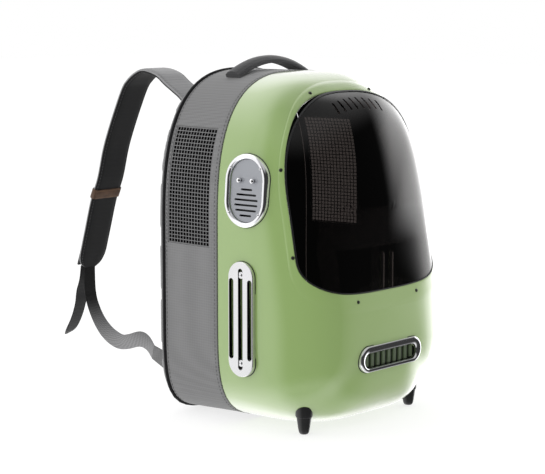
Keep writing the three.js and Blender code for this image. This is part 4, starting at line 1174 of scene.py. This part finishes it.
WEBBINGS = {
    "left": [
        (-0.42, 1.003, 0.3651, 0), (-0.42, 1.003, 0.3426, 0), (-0.42, 0.998, 0.2933, 0),
        (-0.427, 0.969, 0.2516, 4),
             (
                 -0.447, 0.893, 0.2058, 12
             ), (-0.488, 0.776, 0.1723, 30), (-0.542, 0.635, 0.1574, 55), (-0.597, 0.512, 0.1651, 75),
             (-0.671, 0.343, 0.1867, 84), (-0.732, 0.228, 0.1842, 88), (-0.793, 0.134, 0.1656, 90)],
    "right": [
        (0.42, 0.647, 0.3651, 0), (0.42, 0.645, 0.3419, 0), (0.42, 0.64, 0.293, 0),
        (0.427, 0.61, 0.2512, 4),
              (
                  0.447, 0.55, 0.2047, 12
              ), (0.488, 0.47, 0.1767, 30), (0.542, 0.4, 0.1628, 55), (0.61, 0.33, 0.1605, 75),
              (0.678, 0.26, 0.1698, 84), (0.732, 0.195, 0.1744, 88), (0.793, 0.134, 0.1656, 90)],
}
TAILS = {
    "left": [
        (1.031, 0.3777, 1), (1.048, 0.3293, 1), (1.079, 0.2893, 1), (1.096, 0.2467, 1),
        (1.137, 0.1993, 1), (1.194, 0.1588, 0.9), (1.245, 0.1398, 0.2)
    ],
    "right": [
        (0.679, 0.3783, 1), (0.684, 0.3293, 1), (0.693, 0.2893, 1), (0.705, 0.2467, 1),
        (0.725, 0.2047, 1), (0.75, 0.1721, 0.9), (0.78, 0.1488, 0.2)
    ],
}
STRAP_X, STRAP_W, STRAP_T, WEB_W, WEB_T = 62, 46, 6, 20, 1.4
FACE = RIB_FACE + 0.3


def headings(points):
    way = np.gradient(points, axis=0)
    return way / np.linalg.norm(way, axis=1, keepdims=True)


def strap_section(half, thick):
    """A padded strip's section: flat faces, full edges with a stitched rim."""
    side = [
        (1.0, 0.0), (0.995, 0.22), (0.97, 0.36), (0.92, 0.4), (0.885, 0.34), (0.85, 0.42), (0.7, 0.49),
        (0.35, 0.5), (0.0, 0.5)
    ]
    quarter = np.array(side)
    top = np.concatenate([quarter, (quarter * [-1, 1])[::-1][1:]])
    full = np.concatenate([top, (top * [1, -1])[::-1][1:-1]])
    return full * [half, thick]


def stitches(name, path, normals, material, length=2.6, gap=1.6, radius=0.32):
    """A row of short thread stitches lying on a path."""
    steps = np.linalg.norm(np.diff(path, axis=0), axis=1)
    along = np.concatenate([[0], np.cumsum(steps)])
    points, faces = [], []
    s = gap
    while s + length < along[-1]:
        a = np.array([np.interp(s, along, path[:, i]) for i in range(3)])
        b = np.array([np.interp(s + length, along, path[:, i]) for i in range(3)])
        n = np.array([np.interp(s + length / 2, along, normals[:, i]) for i in range(3)])
        d = (b - a) / np.linalg.norm(b - a)
        n -= d * n.dot(d)
        n /= np.linalg.norm(n)
        w = np.cross(d, n)
        start = len(points)
        for t, scale in ((0.0, 0.3), (0.18, 1.0), (0.82, 1.0), (1.0, 0.3)):
            c = a + (b - a) * t + n * radius * (0.55 if 0 < t < 1 else -0.3)
            for k in range(6):
                q = 2 * math.pi * k / 6
                points.append(c + radius * scale * (math.cos(q) * w + math.sin(q) * n))
        for r in range(3):
            for k in range(6):
                p, q = start + r * 6 + k, start + r * 6 + (k + 1) % 6
                faces.append((p, q, q + 6, p + 6))
        faces += [tuple(range(start, start + 6)), tuple(range(start + 18, start + 24))]
        s += length + gap
    made = mesh_object(name, np.array(points) * MM, faces)
    put(made, [material])
    return made


for label, side in (("left", -1), ("right", 1)):
    rows = smooth_rows(STRAPS[label], 6)
    rows[:, 2] = np.minimum(rows[:, 2], 1.0)
    points = np.stack([np.full(len(rows), side * STRAP_X), FACE + rows[:, 0] * 200, rows[:, 1] * H], 1)
    ways = headings(points)
    rise = np.stack([np.zeros(len(rows)), ways[:, 2], -ways[:, 1]], 1)
    rings, upper, lower = [], [[], []], [[], []]
    for p, r, row in zip(points, rise, rows):
        sec = strap_section(STRAP_W / 2 * row[2], STRAP_T)
        rings.append(p + np.outer(sec[:, 0], [1, 0, 0]) + np.outer(sec[:, 1], r))
        for k, s in enumerate((-1, 1)):
            edge_at = p + np.array([s * STRAP_W / 2 * row[2] * 0.885, 0, 0])
            upper[k].append(edge_at - r * STRAP_T * 0.34)
            lower[k].append(edge_at + r * STRAP_T * 0.34)
    shift = (FACE - rings[0][:, 1]) / ways[0][1]
    rings[0] = rings[0] + np.outer(shift, ways[0])
    strap = loft(f"strap_{label}_pad", rings, angle=60)
    put(strap, [STRAP_LIGHT, STRAP_DARK], replaces=[f"strap_{label}"])
    tree_points = points * MM
    for polygon in strap.data.polygons:
        c = np.array(polygon.center)
        k = int(np.argmin(np.linalg.norm(tree_points - c, axis=1)))
        if np.dot(c - tree_points[k], rise[k]) > -0.0004:
            polygon.material_index = 1
    for k in (0, 1):
        stitches(f"strap_{label}_stitch_{k}", np.array(upper[k])[6:-3], -rise[6:-3], THREAD)
        stitches(f"strap_{label}_stitch_in_{k}", np.array(lower[k])[6:-3], rise[6:-3], THREAD)
    # Leather band.
    run, a, b = {"left": (11, 0.49, 0.9), "right": (9, 0.1, 0.37)}[label]
    sleeve = []
    def section_at(f, grow):
        i = int(min(math.floor(f), len(points) - 2))
        t = f - i
        p = points[i] * (1 - t) + points[i + 1] * t
        r = rise[i] * (1 - t) + rise[i + 1] * t
        sec = strap_section(STRAP_W / 2 + grow, STRAP_T + 2 * grow)
        sec[:, 1] = np.where(
            np.abs(sec[:, 0]) < (STRAP_W / 2) * 0.97, np.sign(sec[:, 1]) * (STRAP_T / 2 + grow), sec[:, 1]
        )
        return p + np.outer(sec[:, 0], [1, 0, 0]) + np.outer(sec[:, 1], r)
    f0, f1 = (run + a) * 6, (run + b) * 6
    band_rows = [(f0, 0.35), (f0, 1.2), (f0 + 0.08, 1.45), (f1 - 0.08, 1.45), (f1, 1.2), (f1, 0.35)]
    band = loft(f"band_{label}_leather", [section_at(f, g) for f, g in band_rows], joined=True)
    put(band, [LEATHER], replaces=[f"leather_band_{label}"])
    for f in (f0 + 0.3, f1 - 0.3):
        i = int(f)
        p = points[i] + (points[i + 1] - points[i]) * (f - i)
        for way, tag in ((1, "in"), (-1, "out")):
            line = np.array(
                [p + np.array([s, 0, 0]) + way * rise[i] * (STRAP_T / 2 + 1.42)
                for s in np.linspace(-21, 21, 12)]
            )
            stitches(
                f"band_{label}_stitch_{tag}_{round(f * 10)}", line, np.array([way * rise[i]] * 12),
                TAN_THREAD, 2.0, 1.2, 0.25
            )

    # Webbing: a ribbon that turns from level to upright.
    rows = smooth_rows(WEBBINGS[label], 6)
    centre = np.stack([rows[:, 0] * HALF, FACE + rows[:, 1] * 200, rows[:, 2] * H], 1)
    tip = points[-1] + ways[-1] * 0.3
    centre[0] = tip
    way = headings(centre)
    way[0] = ways[-1]
    ribbon = []
    turn = np.radians(rows[:, 3])
    for p, w, t in zip(centre, way, turn):
        wide = np.array([math.cos(t), 0, math.sin(t)])
        wide -= w * wide.dot(w)
        wide /= np.linalg.norm(wide)
        up = np.cross(w, wide)
        sec = FLAT_BAND * [WEB_W / 2, WEB_T]
        ribbon.append(p + np.outer(sec[:, 0], wide) + np.outer(sec[:, 1], up))
    web = loft(f"webbing_{label}_strip", ribbon)
    put(web, [WEBBING_PAINTED_LIGHT], replaces=[f"webbing_{label}"])
    end, end_way, end_wide, end_up = centre[-1], way[-1], wide, up
    # Corner tab of bag cloth.
    root = np.array([side * 0.7322 * HALF, FACE, 0.1279 * H])
    tab = []
    sign = math.copysign(1, end_up[0])
    for t in np.linspace(0, 1, 9):
        p = (end + end_way * 0.3) * (1 - t) + root * t
        wide_t = end_wide * (1 - t) + np.array([0, 0, 1.0]) * t
        up_t = end_up * (1 - t) + np.array([sign, 0, 0]) * t
        half = WEB_W / 2 * (1 - t) + 13 * t
        sec = FLAT_BAND * [half, 2.0]
        tab.append(p + np.outer(sec[:, 0], wide_t) + np.outer(sec[:, 1], up_t))
    tab[-1][:, 1] = FACE
    tab = loft(f"tab_{label}_cloth", tab)
    put(tab, [CLOTH], replaces=[f"corner_tab_{label}"])

    # Adjuster: a moulded ladder buckle on the outer face of the tip.
    base = np.array(STRAPS[label])
    coarse = np.stack([np.full(len(base), side * STRAP_X), FACE + base[:, 0] * 200, base[:, 1] * H], 1)
    coarse_way = []
    for i in range(len(coarse)):
        d = coarse[min(i + 1, len(coarse) - 1)] - coarse[max(i - 1, 0)]
        coarse_way.append(d / np.linalg.norm(d))
    seat, seat_way = coarse[-3], coarse_way[-3]
    seat_rise = np.array([0, seat_way[2], -seat_way[1]])
    on_strap = frame_at(seat, -seat_rise, -seat_way)
    under = STRAP_T / 2 + 0.3
    def plate_ring(by):
        return rectangle(18 - by, 11 - by)
    buckle = stack(
        f"adjuster_{label}_buckle",
        [
            (plate_ring(0.5), under), (plate_ring(0), under + 0.5), (plate_ring(0), under + 2.8),
            (plate_ring(0.7), under + 3.4)
        ],
        on_strap
    )
    buckle = cut(
        buckle, [prism(rectangle(13, 2, (0, i * 5)), under - 2, under + 8, on_strap) for i in (-1, 1)]
    )
    put(buckle, [BLACK], replaces=[f"adjuster_{label}"])

    rows = smooth_rows(TAILS[label], 6)
    centre = np.stack([np.full(len(rows), side * STRAP_X), FACE + rows[:, 0] * 200, rows[:, 1] * H], 1)
    foot_at = on_strap([0], [-11.3], under + 1.7)[0]
    centre[0] = foot_at
    way = headings(centre)
    tail = []
    for p, w, row in zip(centre, way, rows):
        up = np.cross([1, 0, 0], w)
        sec = FLAT_BAND * [WEB_W / 2 * min(row[2], 1), WEB_T]
        tail.append(p + np.outer(sec[:, 0], [1, 0, 0]) + np.outer(sec[:, 1], up))
    tail = loft(f"tail_{label}_strip", tail)
    put(tail, [WEBBING_DARK], replaces=[f"webbing_tail_{label}"])

# Carry handle.
HANDLE_Y = 46
handle_outline = bag_outline(HANDLE_Y)


def top_at(x):
    o = handle_outline
    share = abs(x) / o["half"]
    return o["high"] + (o["top"] - o["high"]) * (1 - share ** o["nt"]) ** (1 / o["nt"])


handle_foot = top_at(HANDLE_REACH) + 0.3
xs = np.linspace(-HANDLE_REACH - 2.5, HANDLE_REACH + 2.5, 41)
centre = np.stack(
    [xs, np.full(41, HANDLE_Y), handle_foot + HANDLE_RISE * (1 - (xs / HANDLE_REACH) ** 2)], 1
)
way = headings(centre)
section = np.array([
    (-0.94, 0.0), (-0.5, 0.04), (0, 0.05), (0.5, 0.04), (0.94, 0.0), (1, 0.06), (1, 0.42), (0.93, 0.56),
    (0.84, 0.6), (0.7, 0.78), (0.42, 0.93), (0, 1.0),
                    (-0.42, 0.93), (-0.7, 0.78), (-0.84, 0.6), (-0.93, 0.56), (-1, 0.42), (-1, 0.06)])
rings = []
for p, w in zip(centre, way):
    up = np.array([-w[2], 0, w[0]])
    rings.append(
        p + np.outer(section[:, 0] * HANDLE_HALF, [0, 1, 0]) + np.outer(section[:, 1] * HANDLE_CROWN, up)
    )
for ring_end in (rings[0], rings[-1]):
    for p in ring_end:
        p[2] = max(p[2], top_at(p[0]) + 0.4)
handle = loft("handle_grip", rings, angle=60)
put(handle, [HANDLE_CLOTH], replaces=["carry_handle"])
for s in (-1, 1):
    line = np.array(
        [p + np.array([0, s * HANDLE_HALF * 0.84, 0]) + np.array([-w[2], 0, w[0]]) * HANDLE_CROWN * 0.6
        for p, w in zip(centre, way)]
    )
    normal = np.array([[-w[2], 0, w[0]] for w in way])
    stitches(f"handle_stitch_{'front' if s < 0 else 'rear'}", line[2:-2], normal[2:-2], THREAD)

# Stitched rows on the bag.
for tag, y in (("front", 5.0), ("rear", 90.8)):
    r = bag_ring(y, 0.0)
    centre_z = 215
    normal = np.stack([r[:, 0] / 140, np.zeros(len(r)), (r[:, 2] - centre_z) / 210], 1)
    normal /= np.linalg.norm(normal, axis=1, keepdims=True)
    closed = np.vstack([r, r[:1]])
    stitches(f"bag_stitch_{tag}", closed, np.vstack([normal, normal[:1]]), THREAD, 3.0, 2.2, 0.28)

# Stage.
floor = mesh_object(
    "floor", np.array([(-9, -9, 0), (9, -9, 0), (9, 9, 0), (-9, 9, 0)], float) - [0, 0, 0.0002],
    [(0, 1, 2, 3)], smooth=False
)
floor_nodes = Nodes("floor_pale")
floor_nodes.set(Base_Color=(0.35, 0.35, 0.35), Roughness=0.9)
floor_nodes.shader.inputs["Specular IOR Level"].default_value = 0
floor_nodes.shader.inputs["Emission Color"].default_value = (1, 1, 1, 1)
floor_nodes.shader.inputs["Emission Strength"].default_value = 0.74
wear(floor, floor_nodes.material)
floor.visible_glossy = False

# A white room that is dark on the side the front faces, so that bright metal gets contrast.
world = bpy.data.worlds.new("studio")
scene.world = world
world.use_nodes = True
tree = world.node_tree
tree.nodes.clear()


def world_node(kind, inputs=(), **values):
    node = tree.nodes.new(kind)
    for key, value in values.items():
        setattr(node, key, value)
    for key, value in dict(inputs).items():
        if isinstance(value, bpy.types.NodeSocket):
            tree.links.new(value, node.inputs[key])
        else:
            node.inputs[key].default_value = value
    return node


way = world_node("ShaderNodeTexCoord").outputs["Generated"]
parts_of_way = world_node("ShaderNodeSeparateXYZ", {0: way})


def ramp_between(value, start, end, low_value, high_value):
    node = world_node("ShaderNodeMapRange", {"Value": value, "From Min": start, "From Max": end,
                      "To Min": low_value, "To Max": high_value}, interpolation_type="SMOOTHSTEP")
    return node.outputs["Result"]


behind = ramp_between(parts_of_way.outputs["Y"], -0.1, 0.42, 0.045, 1.15)
above = ramp_between(parts_of_way.outputs["Z"], 0.4, 0.75, 0.0, 0.5)
beneath = ramp_between(parts_of_way.outputs["Z"], -0.8, -0.5, 0.8, 0.0)
side_light = ramp_between(parts_of_way.outputs["X"], 0.8, 0.97, 0.0, 2.2)
total = world_node("ShaderNodeMath", {0: behind, 1: above}, operation="ADD").outputs[0]
for extra in (side_light, beneath):
    total = world_node("ShaderNodeMath", {0: total, 1: extra}, operation="ADD").outputs[0]
room = world_node("ShaderNodeBackground", {"Strength": total})
plain = world_node("ShaderNodeBackground", {"Strength": 1.0})
for node in (room, plain):
    node.inputs["Color"].default_value = (1, 1, 1, 1)
seen = world_node("ShaderNodeLightPath").outputs["Is Camera Ray"]
either = world_node("ShaderNodeMixShader", {0: seen, 1: room.outputs[0], 2: plain.outputs[0]})
world_node("ShaderNodeOutputWorld", {"Surface": either.outputs[0]})


def lamp(name, at, target, size, power, glossy=True):
    data = bpy.data.lights.new(name, "AREA")
    data.energy, data.size = power, size
    made = bpy.data.objects.new(name, data)
    scene.collection.objects.link(made)
    made.location = at
    made.rotation_mode = "QUATERNION"
    made.rotation_quaternion = (Vector(target) - Vector(at)).to_track_quat("-Z", "Y")
    made.visible_glossy = glossy
    return made


lamp("key", (-2.3, -0.9, 1.1), (0, -0.05, 0.2), 1.6, 22, glossy=False)
lamp("fill", (0.5, -2.2, 0.9), (0, -0.05, 0.2), 1.6, 9, glossy=False)
lamp("right", (1.9, -0.5, 0.5), (0.1, -0.05, 0.2), 1.0, 12, glossy=False)
scene.view_settings.view_transform = "Standard"
